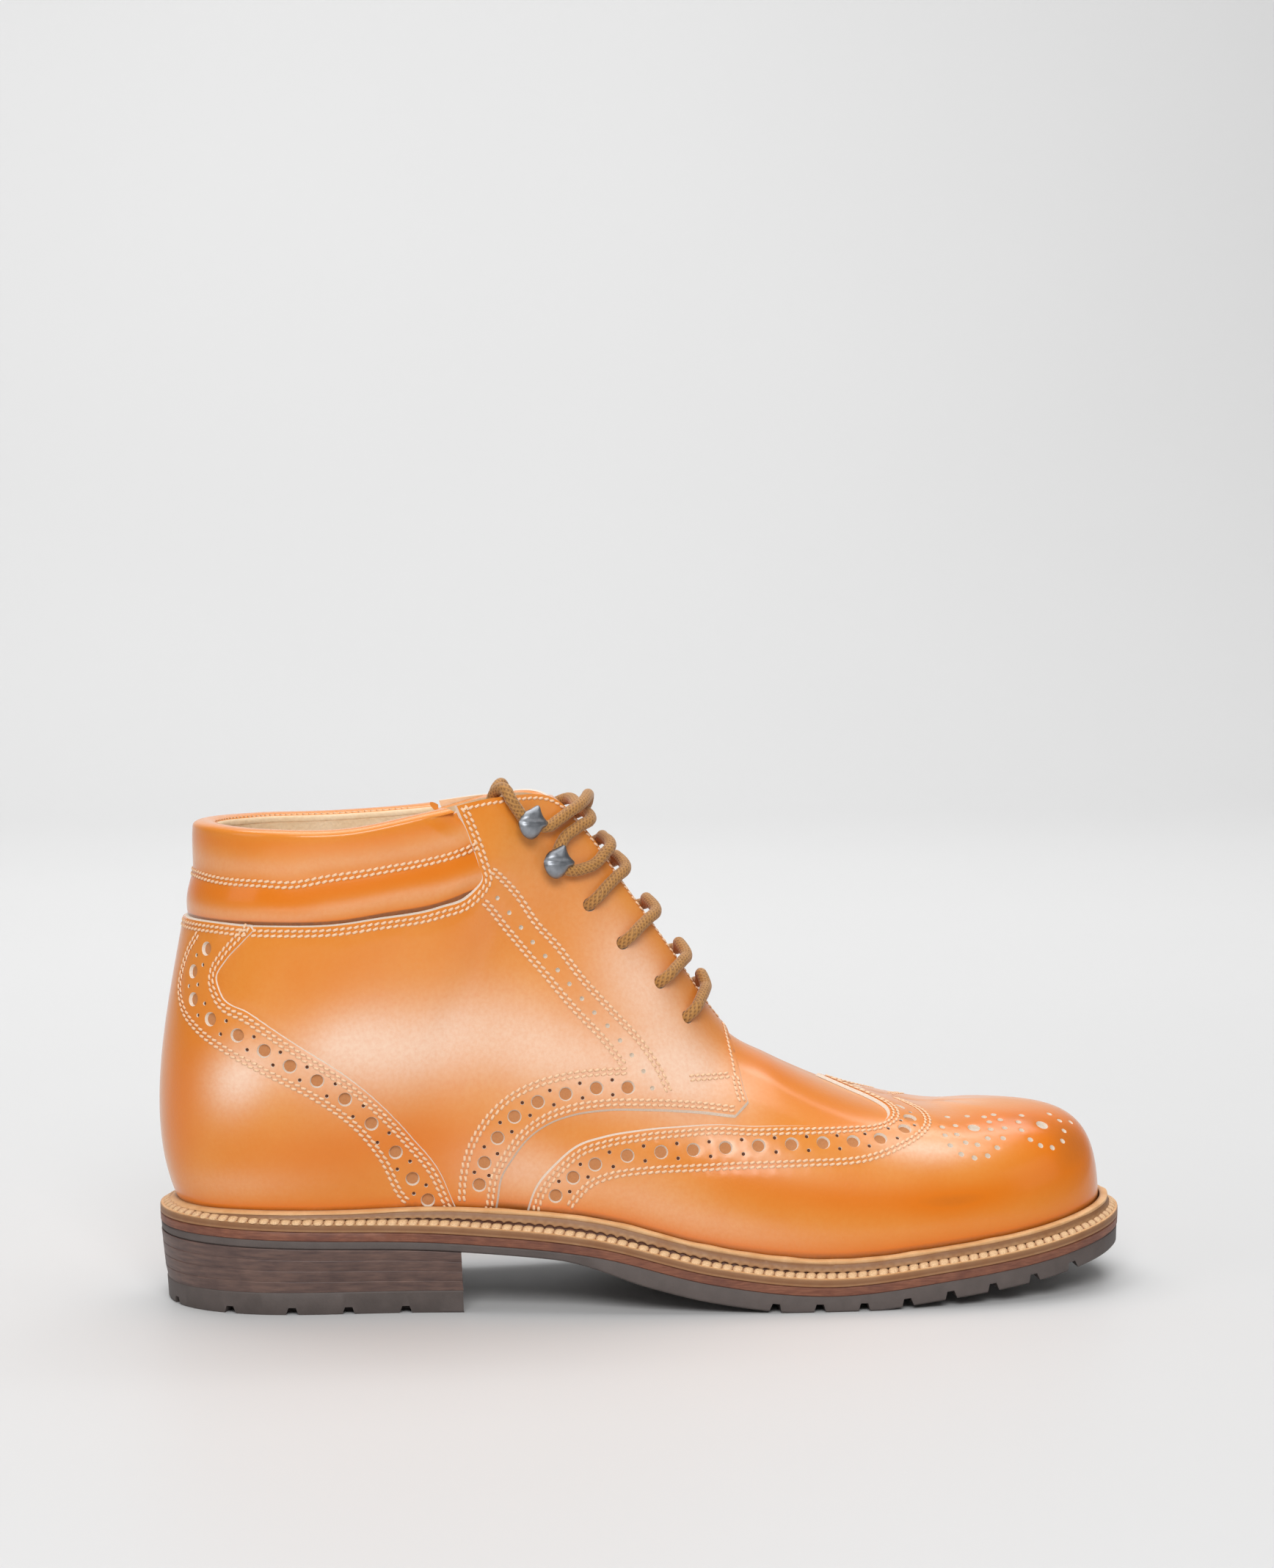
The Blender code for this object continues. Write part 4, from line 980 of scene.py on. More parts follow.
# Painted sheen: pale painted highlights where the leather faces the soft boxes.
PAINTED_SHEEN_SPOTS = [
    (128, 0.40, 13, 0.09, 0.85), (107, 0.42, 13, 0.1, 0.8), (140, 0.45, 8, 0.08, 0.7),
    (90, 0.6, 9, 0.14, 0.9), (102, 0.72, 7, 0.14, 0.7), (155, 0.39, 6, 0.08, 1.0),
    (53, 0.5, 9, 0.08, 0.75), (82, 0.38, 8, 0.05, 0.35), (108, 0.15, 7, 0.06, 0.5),
    (20, 0.94, 25, 0.07, 0.3), (88, 0.13, 16, 0.05, 0.25), (153, 0.12, 14, 0.04, 0.2),
    (95, 0.5, 7, 0.08, 0.45), (118, 0.75, 8, 0.15, 0.15), (93, 0.2, 8, 0.05, 0.15)]
LIP_DROP, LIP_DROP_FROM, LIP_DROP_OVER = 0.024, 70.0, 60.0
EDGE_BURN, EDGE_BURN_REACH = 0.14, 1.8
# A line of painted shade where the upper meets the welt's lip, dark enough to reach the crevice brown.
LIP_SHADE, LIP_SHADE_REACH = 1.9, 0.014


def soft_spots(spots, angle, v):
    """Sum of round soft spots, each a weight times a bell over its spreads in angle and height."""
    total = np.zeros(np.shape(angle))
    for at, height, wide, tall, weight in spots:
        total = total + weight * np.exp(-((angle - at) / wide) ** 2 - ((v - height) / tall) ** 2)
    return total


def lip_height(angle):
    """Top of the welt's lip as a share of the height, lower around the heel."""
    return LIP_V - LIP_DROP * np.clip((np.abs(angle) - LIP_DROP_FROM) / LIP_DROP_OVER, 0, 1)


def burnish(s, v, edge):
    """Dark wax with painted shade, and painted sheen: soft spots, a dark wax line beside each edge, painted
    shade above the welt.
    """
    angle = np.abs(signed(s))
    beside_edge = EDGE_BURN * np.exp(-np.maximum(edge, 0) / EDGE_BURN_REACH)
    shade_above_lip = LIP_SHADE * np.exp(-np.maximum(v - lip_height(angle), 0) / LIP_SHADE_REACH)
    total = soft_spots(BURN_AND_SHADE_SPOTS, angle, v) + beside_edge + shade_above_lip
    return {"burnish": np.clip(total, 0, 2), "polish": np.clip(soft_spots(PAINTED_SHEEN_SPOTS, angle, v), 0, 1)}


def constant(value):
    """The same depth, lift or height everywhere."""
    return lambda first, *others: np.full(np.shape(first), float(value))


print("burnish spots:", len(BURN_AND_SHADE_SPOTS), "polish spots:", len(PAINTED_SHEEN_SPOTS))

# %% [markdown]
# The shell is the vamp leather and the lining as one hollow wall. It is open at the collar, the throat and
# underneath, with its eyelets punched through, and thicker behind the collar where the padding lies.

# %% Base shell with lining
COLLAR_TOP = 0.972
COLLAR_FROM, COLLAR_FULL = 128, 135
PAD_FROM, PAD_BLEND, PAD_V, PAD_RISE = 124.0, 8.0, 0.74, 0.1
LINING_DEPTH, PAD_THICK = 3.4, 3.1
BASE_CLEAR = 0.06
BASE_STEP = 2.0
EYELET_SIDES = 14


def base_inside(s, v):
    """Lining depth: thin in front, padded behind the collar."""
    across = np.clip((np.abs(signed(s)) - PAD_FROM) / PAD_BLEND, 0, 1)
    pad = np.clip((v - PAD_V) / PAD_RISE, 0, 1)
    return LINING_DEPTH + PAD_THICK * across * pad


corners = [(0, 1), (THROAT, 1), (COLLAR_FROM, 1), (COLLAR_FULL, COLLAR_TOP), (180, COLLAR_TOP)]
half_top = joined(*[line(a, b) for a, b in zip(corners[:-1], corners[1:])])
back_wall = line((180, COLLAR_TOP), (180, 0))[1:-1]
floor_line = line((180, 0), (-180, 0))
base_loop = np.vstack([
    mirrored(half_top)[::-1][:-1], half_top, back_wall, floor_line, mirrored(back_wall)[::-1]])[::-1]
base = leather_piece(
    "upper_shell", base_loop, punched(both_sides(eyelets), EYELET, EYELET_SIDES), [],
    constant(OVERLAY + BASE_CLEAR), base_inside, [calf, calf, lining], burnish, BASE_STEP)
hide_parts("upper")

# %% [markdown]
# Stitching runs in pairs of rows: beside each edge, and on both sides of the lines that hold the punched
# bands. Rows are curves on the skin, so one list serves the leather, which is drawn in along it, and the
# thread.

# %% Stitch rows
ROW_STEP = 1.2
NEAR_ROW, FAR_ROW = 1.2, 2.7
HALF_PAIR = 0.75
TAB_STEP = 0.8
FACING_ROW = 2.0
TOP_ROW = ((-88.4, 0.984), (-134.0, 0.984))
COUNTER_MEETS, SEAM_OVERLAP = -159.5, 0.5
CUFF_ROW_END = np.array([1.4, 0.008])


def double(curve, inward=-1.0, near=NEAR_ROW, far=FAR_ROW):
    """Two stitch rows beside an edge, on the side given by the sign."""
    return [shifted(curve, inward * near), shifted(curve, inward * far)]


def centred(places):
    """A double row on both sides of a drawn line."""
    curve = trace(places, ROW_STEP)
    return [shifted(curve, HALF_PAIR), shifted(curve, -HALF_PAIR)]


def to_back(row):
    """A row carried on, level, to the middle of the heel's back."""
    if row[0, 0] < row[-1, 0]:
        return np.vstack([[-180.0, row[0, 1]], row])
    return np.vstack([row, [-180.0, row[-1, 1]]])


wing_rows = double(wing_edge) + centred(on_skin(WING_LOWER_PX))
front_edge = joined(quarter_edge, quarter_corner, facing_foot)
quarter_rows = double(quarter_edge, 1.0) + centred(on_skin(QUARTER_UPPER_PX))
quarter_rows += centred(on_skin(EYESTAY_UPPER_PX)) + centred(on_skin(EYESTAY_LOWER_PX))
quarter_rows += double(trace(on_skin(TAB_PX), TAB_STEP), 1.0) + centred(on_skin(BAR_TACK_PX))
quarter_rows.append(shifted(facing_foot, FACING_ROW)[9:-2])
quarter_rows.append(trace(line(*TOP_ROW, 8.0), ROW_STEP))
collar_front = collar_seam[collar_seam[:, 0] > COUNTER_MEETS]
collar_rows = double(collar_front)
counter_rows = double(counter_edge, -1.0) + centred(on_skin(COUNTER_INNER_PX))
seam_back = collar_seam[collar_seam[:, 0] < COUNTER_MEETS + SEAM_OVERLAP]
counter_rows += [to_back(row) for row in double(seam_back)]
cuff_line = on_skin(CUFF_STITCH_PX)
cuff_rows = centred(np.vstack([to_back(cuff_line), cuff_line[-1] + CUFF_ROW_END]))
wing_sewn = [row for one in wing_rows for row in (one, mirrored(one))]
all_rows = wing_rows + quarter_rows + counter_rows + collar_rows + cuff_rows
print("stitch rows:", len(all_rows))

# %% [markdown]
# The wing cap covers the toe and runs back along both sides to a point over the ridge. It is drawn as one
# piece, its medial half the mirror image of the half the picture shows.

# %% Wing cap
LARGE_SIDES, SMALL_SIDES, MEDALLION_SIDES, PRICK_SIDES = 16, 8, 14, 10
wing_ridge = line((-WING_PEAK[0], 1.0), (0.0, 1.0))
wing_foot = line((0.0, FOOT_V), wing_edge[0])[::-1]
half_wing = np.vstack([wing_foot[::-1][:-1], wing_edge[:-1], wing_ridge])
wing_loop = np.vstack([half_wing, mirrored(half_wing)[::-1][1:-1]])[::-1]
wing_holes = punched(both_sides(np.vstack([wing_large, peak_large])), LARGE_HOLE, LARGE_SIDES)
wing_holes += punched(both_sides(wing_small), SMALL_HOLE, SMALL_SIDES)
wing_holes += punched(both_sides(medallion_large), MEDALLION_HOLE, MEDALLION_SIDES)
wing_holes += punched(both_sides(medallion_small), MEDALLION_PRICK, PRICK_SIDES)
wing = leather_piece(
    "wing_cap_leather", wing_loop, wing_holes, wing_sewn, constant(0.0), constant(OVERLAY),
    [calf, edge_leather, calf], burnish, raw=both_sides(wing_edge))
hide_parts("wing_cap")

# %% [markdown]
# A derby's quarters lie on the vamp, open at the facings, with the eyestay as part of the same piece. Their
# back edge dips under the heel counter, as it is skived thin there on the real boot.

# %% Quarters
TUCK, TUCK_DEPTH, TUCK_REACH = 2.2, 0.55, 1.4
EYELET_EDGE = 0.3
FOOT_TRIM = 0.004
top_edge = line((-86.7, 1.0), (-133.7, 1.0))
tucked_edge = shifted(counter_edge, -TUCK)
tucked_edge = tucked_edge[tucked_edge[:, 1] > FOOT_V + FOOT_TRIM]
quarter_foot = line((tucked_edge[-1][0], FOOT_V), quarter_edge[0])
quarter_loop = joined(front_edge, top_edge, collar_front[::-1], tucked_edge, quarter_foot)[:-1]


def quarter_depth(s, v):
    """The quarter lies on the skin and dips under the counter along its back edge."""
    gap = nearest_distance(np.column_stack([-np.abs(s), v]) * SCALE, tucked_edge * SCALE)
    return TUCK_DEPTH * np.exp(-(gap / TUCK_REACH) ** 2)


for word, flip in SIDES:
    loop = flip(quarter_loop)
    loop = loop[::-1] if word == "lateral" else loop
    holes = punched(flip(quarter_large), LARGE_HOLE, LARGE_SIDES)
    holes += punched(flip(quarter_small), SMALL_HOLE, SMALL_SIDES)
    holes += punched(flip(pins), PIN_HOLE, SMALL_SIDES)
    holes += punched(flip(eyelets), EYELET - EYELET_EDGE, EYELET_SIDES)
    piece = leather_piece(
        "quarter_%s_leather" % word, loop, holes, [flip(row) for row in quarter_rows + collar_rows],
        quarter_depth, constant(OVERLAY), [calf, edge_leather, lining], burnish,
        raw=flip(np.vstack([front_edge, collar_front[::-1]])))
    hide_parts("quarter_" + word)

# %% [markdown]
# A punched hole shows the layer beneath it: pale leather in the medallion and the eyestay, the vamp under the
# large holes in a darker brown of painted shade, and painted shadow in the small ones. Each hole gets a thin
# floor of its own; paint on the shell could not follow the holes so closely.

# %% Pinhole bottoms
FLOOR_SIDES, FLOOR_THICK = 14, 0.2
FLOOR_EDGE, PRICK_EDGE = 0.3, 0.2


def hole_floors(name, groups, material):
    """Thin discs at the bottom of holes; each group is places, hole diameter and depth beneath the skin."""
    turn = np.linspace(0, 2 * np.pi, FLOOR_SIDES, endpoint=False)
    discs = []
    for places, diameter, level in groups:
        s, v = places.T
        n = skin_normal(s, v)
        first = unit(np.cross(n, [0.0, 0.0, 1.0]))
        second = np.cross(n, first)
        ring = np.cos(turn)[None, :, None] * first[:, None] + np.sin(turn)[None, :, None] * second[:, None]
        pair = [under(s, v, deep)[:, None] + ring * diameter * 0.5 for deep in (level, level + FLOOR_THICK)]
        discs.append(np.stack(pair, 1).reshape(-1, 3))
    verts = np.vstack(discs)
    count = len(verts) // (2 * FLOOR_SIDES)
    made = add_piece(name, verts, copied(tube_faces(2, FLOOR_SIDES), count, 2 * FLOOR_SIDES), [material])
    print(name, "floors", count)


hole_floors("pinhole_backing", [
    (both_sides(pins), PIN_HOLE, 0.85), (both_sides(medallion_small), MEDALLION_PRICK - FLOOR_EDGE, 0.75),
    (both_sides(medallion_large), MEDALLION_HOLE - FLOOR_EDGE, 0.9)], pale_backing)
# Darker floors under the large holes: painted shade.
hole_floors("hole_backing", [
    (both_sides(np.vstack([wing_large, peak_large, quarter_large])), LARGE_HOLE - FLOOR_EDGE, 0.98),
    (both_sides(counter_large), LARGE_HOLE - FLOOR_EDGE, 0.55)], painted_shade_backing)
# Near-black floors in the small holes: painted shadow.
hole_floors("prick_shadow_floor", [
    (both_sides(np.vstack([wing_small, quarter_small])), SMALL_HOLE - PRICK_EDGE, 0.3),
    (both_sides(counter_small), SMALL_HOLE - PRICK_EDGE, -0.13)], painted_shadow_backing)

# %% [markdown]
# The heel counter wraps the back of the boot as one piece and lies over both quarters, so it stands a little
# higher. Its drawing counts angles on past 180, which keeps it whole across the heel.

# %% Heel counter
COUNTER_RAISE = 0.55
COUNTER_SINK = 0.4


def round_heel(curve):
    """Angles of a lateral curve counted on past 180, so the heel is one drawing."""
    return np.column_stack([np.where(curve[:, 0] < 0, curve[:, 0] + 360, curve[:, 0]), curve[:, 1]])


def other_heel(curve):
    """Mirror image about the heel."""
    return np.column_stack([360 - curve[:, 0], curve[:, 1]])


seam_half = round_heel(np.vstack([[(-180.0, seam_back[0][1])], seam_back]))
edge_half = round_heel(counter_edge)
foot_half = line((edge_half[-1][0], FOOT_V), (180.0, FOOT_V))[1:]
half_counter = np.vstack([seam_half, edge_half, foot_half])
counter_loop = np.vstack([half_counter, other_heel(half_counter)[::-1][1:-1]])
counter_holes = []
COUNTER_PUNCHES = ((counter_large, LARGE_HOLE, LARGE_SIDES), (counter_small, SMALL_HOLE, SMALL_SIDES))
for places, size, sides in COUNTER_PUNCHES:
    half = round_heel(places)
    counter_holes += punched(np.vstack([half, other_heel(half)]), size, sides)
counter_half = [round_heel(row) for row in counter_rows]
counter_sewn = counter_half + [other_heel(row) for row in counter_half]
counter = leather_piece(
    "heel_counter_leather", counter_loop, counter_holes, counter_sewn, constant(-COUNTER_RAISE),
    constant(OVERLAY - COUNTER_SINK), [calf, edge_leather, calf], burnish,
    raw=np.vstack([half_counter[:-1], other_heel(half_counter[:-1])]))
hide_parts("heel_counter")

# %% [markdown]
# Stitches. Each stitch is a small flattened capsule, laid at a slant as a lockstitch lies, its two ends
# diving into their pricks, darkened there with painted shade. One template is copied to every place by whole
# arrays.

# %% Stitches
STITCH_PITCH, STITCH_LENGTH, STITCH_WIDTH, STITCH_HEIGHT = 2.1, 1.95, 0.8, 0.5
STITCH_SLANT = 0.3
RING_T = np.array([-0.5, -0.4, -0.12, 0.12, 0.4, 0.5])
RING_R = np.array([0.4, 0.9, 1.0, 1.0, 0.9, 0.4])
RING_H = np.array([-0.7, -0.1, 0.25, 0.25, -0.1, -0.7])
# Darkness toward each end of a stitch: painted shade in the pricks.
RING_PRICK_SHADE = np.array([1.0, 0.15, 0.0, 0.0, 0.15, 1.0])
STITCH_SIDES = 6
STITCH_CREASE = 75.0


def placed(centre, axes, amounts):
    """Every template point at every place: centre plus each axis times its amount."""
    verts = centre[:, None]
    for axis, amount in zip(axes, amounts):
        verts = verts + amount.reshape(-1)[None, :, None] * axis[:, None]
    return verts.reshape(-1, 3)


def sew(name, rows, lift):
    """All stitches of the rows as one mesh: centre + length along + ring across, for every stitch at once."""
    centres, alongs, outs = [], [], []
    for row in rows:
        even = trace(row[::3], STITCH_PITCH) if len(row) > 6 else trace(row, STITCH_PITCH)
        middle = (even[1:] + even[:-1]) / 2
        raised = under(middle[:, 0], middle[:, 1], -np.asarray(lift(middle[:, 0], middle[:, 1])))
        ends = skin(*even.T)
        centres.append(raised)
        alongs.append(unit(ends[1:] - ends[:-1]))
        outs.append(skin_normal(*middle.T))
    centre, along, out = np.vstack(centres), np.vstack(alongs), np.vstack(outs)
    side = np.cross(out, along)
    along = unit(along + side * STITCH_SLANT)
    side = np.cross(out, along)
    turn = np.linspace(0, 2 * np.pi, STITCH_SIDES, endpoint=False)
    wide = RING_R[:, None] * np.cos(turn)[None] * STITCH_WIDTH / 2
    tall = (RING_R[:, None] * np.sin(turn)[None] + RING_H[:, None]) * STITCH_HEIGHT / 2
    long = np.repeat(RING_T[:, None] * STITCH_LENGTH, STITCH_SIDES, 1)
    faces = copied(tube_faces(*wide.shape), len(centre), wide.size)
    painted_thread_shade = np.repeat(RING_PRICK_SHADE, STITCH_SIDES)
    made = add_piece(
        name, placed(centre, (along, side, out), (long, wide, tall)), faces, [thread], None, STITCH_CREASE,
        {"painted_thread_shade": np.tile(painted_thread_shade, len(centre))})
    print(name, "stitches", len(centre))
    return made


sew("wing_stitches", wing_sewn, constant(0.0))
for word, flip in SIDES:
    sew("quarter_%s_stitches" % word, [flip(row) for row in quarter_rows + collar_rows], constant(0.0))
sew("counter_stitches", counter_sewn, constant(COUNTER_RAISE))

# %% [markdown]
# The padded collar. Soft leather is stuffed and sewn through once along the middle, so it swells into two
# rolls and turns over the rim to the inside. Its section is carried round the heel from one collar front
# to the other; a cushion of this kind keeps its shape without a simulation.

# %% Collar padding
FRONT_V = np.array([0.70, 0.747, 0.777, 0.823, 0.91, 1.0])
FRONT_S = np.array([131.0, 129.7, 128.3, 129.7, 132.4, 136.2])
SEAM_S = np.array([120.0, 129.7, 133.0, 142.7, 152.7, 159.7, 175.7, 184.3])
SEAM_V = np.array([0.747, 0.74, 0.73, 0.74, 0.747, 0.747, 0.747, 0.747])
mid_places = on_skin(CUFF_STITCH_PX)[::-1]
MID_S = np.concatenate([[118.0], np.abs(mid_places[:, 0]), [185.0]])
MID_V = np.concatenate([[mid_places[0, 1] + 0.02], mid_places[:, 1], mid_places[-1:, 1]])
ROLL, VALLEY = 1.3, 0.0
VALLEY_HALF = 0.012
RIM_OUT, RIM_IN = -1.4, 6.6
RIM_START = 0.978
ROLL_FOOT, ROLL_SLACK, ROLL_ROUND = 1.1, 0.5, 0.8
CUFF_THREAD_LIFT = 0.12


def cuff_section(v, seam_v, mid_v):
    """Depth of the padding at a height: two soft rolls, drawn in a little at the stitched line."""
    low = np.clip((v - seam_v) / (mid_v - VALLEY_HALF - seam_v), 0, 1)
    high = np.clip((v - mid_v - VALLEY_HALF) / (RIM_START - mid_v - VALLEY_HALF), 0, 1)
    lower = np.sin(np.pi * low) ** ROLL_ROUND
    upper_roll = np.sin(np.pi / 2 * high)
    start = ROLL_FOOT + (VALLEY - ROLL_FOOT) * low
    lower_depth = start - (ROLL - ROLL_SLACK * low) * lower
    return np.where(v < mid_v, lower_depth, VALLEY + (RIM_OUT - VALLEY) * upper_roll)


def cuff_lift(s, v):
    """Height of the collar's surface above the skin, for its stitches."""
    from_front = np.abs(signed(s))
    section = cuff_section(v, smooth(from_front, SEAM_S, SEAM_V), smooth(from_front, MID_S, MID_V))
    return CUFF_THREAD_LIFT - section


CUFF_COLUMNS = 220
CUFF_CREASE = 60.0
CUFF_FOOT = 1.24
FIRST_HALF_ANGLE, UNDER_QUARTER = 49.0, 1.3
END_FADE, END_ROUND = 0.08, 0.6
outside_t = np.linspace(0, 1, 80)
rim_turn = np.linspace(0, np.pi, 24)[1:]
TUCKED_IN = np.array([-0.02, -0.008])
share = np.linspace(-1, 1, CUFF_COLUMNS)[:, None]
guess = 180 + share * FIRST_HALF_ANGLE
for _ in range(4):
    from_front = 180 - np.abs(guess - 180)
    seam_v = smooth(from_front[:, :1], SEAM_S, SEAM_V)
    mid_v = smooth(from_front[:, :1], MID_S, MID_V)
    outside_v = seam_v + (RIM_START - seam_v) * outside_t[None]
    rim_v = RIM_START + (1 - RIM_START) * np.sin(rim_turn)[None] ** ROLL_ROUND + 0 * seam_v
    inside_v = RIM_START - np.array([0.004, 0.008, 0.012])[None] + 0 * seam_v
    hidden_v = np.hstack([0.94 + 0 * seam_v, 0.85 + 0 * seam_v, seam_v, seam_v - 0.02])
    cuff_v = np.hstack([seam_v + TUCKED_IN, outside_v, rim_v, inside_v, hidden_v])
    front = smooth(np.clip(cuff_v, 0.70, 1.0), FRONT_V, FRONT_S) - UNDER_QUARTER
    guess = 180 + share * (180 - front)
rim_depth = (RIM_OUT + RIM_IN) / 2 - (RIM_IN - RIM_OUT) / 2 * np.cos(rim_turn)
fixed_depth = np.concatenate([rim_depth, [RIM_IN, RIM_IN - 0.3, 6.0], [2.4, 1.8, 1.6, 1.4]])
end_fade = np.clip((1 - np.abs(share)) / END_FADE, 0, 1) ** END_ROUND
swell = cuff_section(outside_v, seam_v, mid_v)
cuff_depth = np.hstack([
    np.full((CUFF_COLUMNS, 2), CUFF_FOOT), CUFF_FOOT + (swell - CUFF_FOOT) * end_fade,
    fixed_depth[None] + 0 * share])
cuff_grid = under(guess, cuff_v, cuff_depth)
rows_count, columns_count = cuff_grid.shape[:2]


def band(distance, spread):
    """A soft band: 1 where the distance is 0, fading as a bell over the spread."""
    return np.exp(-(distance / spread) ** 2)


# Painted shade in the crevice where the collar tucks under the quarter and along the top of each roll, where
# it turns from the light; painted sheen along the bottom of each roll, where it faces the pale floor.
seam_shade = 2.0 * np.exp(-np.maximum(cuff_v - seam_v - 0.009, 0) / 0.005)
wear_and_shade = seam_shade + 0.9 * band(cuff_v - mid_v + 0.03, 0.04) + 0.5 * band(cuff_v - 0.955, 0.025)
painted_roll_sheen = 0.2 * band(cuff_v - mid_v + 0.085, 0.02) + 0.2 * band(cuff_v - mid_v - 0.04, 0.025)
RIM_LINED = 0.82
lined = np.zeros(columns_count, int)
lined[2 + len(outside_t):2 + len(outside_t) + len(rim_turn)] = rim_turn > RIM_LINED * np.pi
lined[2 + len(outside_t) + len(rim_turn):] = 1
cuff = add_piece(
    "collar_padding", cuff_grid.reshape(-1, 3), tube_faces(rows_count, columns_count), [calf, lining],
    np.concatenate([np.tile(lined, rows_count - 1), [0, 0]]), CUFF_CREASE,
    {"burnish": np.clip(wear_and_shade, 0, 2).reshape(-1), "polish": painted_roll_sheen.reshape(-1)})
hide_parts("collar_cuff")
cuff_half = [round_heel(row) for row in cuff_rows]
RIM_ROW_V, RIM_ROW_DEPTH = 0.992, 5.55
rim_row = np.column_stack([np.linspace(137, 223, 60), np.full(60, RIM_ROW_V)])
sew("collar_stitches", cuff_half + [other_heel(row) for row in cuff_half], cuff_lift)
sew("rim_stitches", [rim_row], constant(-RIM_ROW_DEPTH))
print("collar grid", cuff_grid.shape)

# %% [markdown]
# The tongue closes the gap under the lace: a sheet of the same leather that follows the facings inside and
# bulges a little where nothing holds it.

# %% Tongue
TONGUE_DEPTH, TONGUE_THICK = 4.0, 1.8
TONGUE_FROM, TONGUE_TO, TONGUE_REACH = 84, 120.5, 0.66
TONGUE_BULGE, TONGUE_BURN = 0.1, 0.15
stations = np.linspace(TONGUE_FROM, TONGUE_TO, 60)
reach = np.linspace(TONGUE_REACH, 1.0, 22)
arch = np.linspace(0, 1, 9)[1:-1]
layers = []
for level in (TONGUE_DEPTH, TONGUE_DEPTH + TONGUE_THICK):
    s, v = np.meshgrid(stations, reach, indexing="ij")
    lateral = under(-s, v, level)
    medial = under(s, v, level)[:, ::-1]
    bulge = unit(skin_normal(-stations, 1.0) + skin_normal(stations, 1.0))
    span = medial[:, 0] - lateral[:, -1]
    lift = bulge * np.linalg.norm(span, axis=-1, keepdims=True) * TONGUE_BULGE
    middle = lateral[:, -1:] + span[:, None] * arch[None, :, None]
    middle = middle + lift[:, None] * (4 * arch * (1 - arch))[None, :, None]
    layers.append(np.concatenate([lateral, middle, medial], 1))
rows_count, columns_count = layers[0].shape[:2]
top_index = np.arange(rows_count * columns_count).reshape(rows_count, columns_count)
low_index = top_index + rows_count * columns_count
rims = [np.stack([a, b], 1) for a, b in (
    (top_index[:, 0], low_index[:, 0]), (low_index[:, -1], top_index[:, -1]),
    (low_index[0], top_index[0]), (top_index[-1], low_index[-1]))]
faces = [quads(top_index)[:, ::-1], quads(low_index)] + [quads(rim) for rim in rims]
tongue = add_piece(
    "tongue_leather", np.vstack([one.reshape(-1, 3) for one in layers]), faces, [calf], None, 40.0,
    {"burnish": np.full(2 * rows_count * columns_count, TONGUE_BURN)})
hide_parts("tongue")
print("tongue grid", layers[0].shape)

# %% [markdown]
# The sole, from the welt down. A storm welt is a strip of natural leather whose inner edge stands up
# against the upper as a lip; heavy thread is sewn down beside it and shows as a row of pale teeth.


# %% Sole finishes
def welt_leather():
    """Natural welting leather, waxed: light brown with darker rubbed streaks along the strip; a share on the
    points darkens its outer edge with stain and its channel and lip with painted shade.
    """
    made, tree, shader, where = start_material("waxed welting leather", roughness=0.5)
    cloud = add(tree, "TexNoise", {"Vector": where, "Scale": per_mm(7.0), "Detail": 4.0, "Roughness": 0.6})
    share = add(tree, "MapRange", {"Value": cloud, "From Min": 0.3, "From Max": 0.7})
    dark = add(tree, "Attribute", out="Fac", attribute_name="edge_stain_and_shade")
    colour = add(tree, "Mix", {"Factor": share, LOW: "#D8A26A", HIGH: "#ECBE8A"}, MIXED, data_type="RGBA")
    # Darker by the share on the points: stain on the welt's outer edge, painted shade in the channel and
    # under the lip.
    colour = add(tree, "Mix", {"Factor": dark, LOW: colour, HIGH: "#663618"}, MIXED, data_type="RGBA")
    grain = add(tree, "TexNoise", {"Vector": where, "Scale": per_mm(1.1), "Detail": 3.0})
    relief = add(tree, "Bump", {"Height": grain, "Distance": 0.12 * MM, "Strength": 0.6})
    plug(tree, shader, {"Base Color": colour, "Normal": relief})
    return made


def edge_layers(name, low, high, patch_colour, pitch):
    """Pared and waxed leather edge: fine layers that run along the edge, with rubbed dark patches."""
    made, tree, shader, where = start_material(name, roughness=0.5)
    drawn_out = add(tree, "Mapping", {"Vector": where, "Scale": (0.12, 0.12, 1.0)})
    streak = add(tree, "TexNoise", {
        "Vector": drawn_out, "Scale": per_mm(pitch), "Detail": 3.0, "Roughness": 0.6})
    patch = add(tree, "TexNoise", {"Vector": where, "Scale": per_mm(9.0), "Detail": 3.0})
    share = add(tree, "MapRange", {"Value": streak, "From Min": 0.3, "From Max": 0.7})
    wear_and_shade = add(tree, "MapRange", {"Value": patch, "From Min": 0.45, "From Max": 0.75, "To Max": 0.55})
    colour = add(tree, "Mix", {"Factor": share, LOW: low, HIGH: high}, MIXED, data_type="RGBA")
    colour = add(tree, "Mix", {"Factor": wear_and_shade, LOW: colour, HIGH: patch_colour}, MIXED, data_type="RGBA")
    relief = add(tree, "Bump", {"Height": streak, "Distance": 0.12 * MM, "Strength": 0.5})
    plug(tree, shader, {"Base Color": colour, "Normal": relief})
    return made


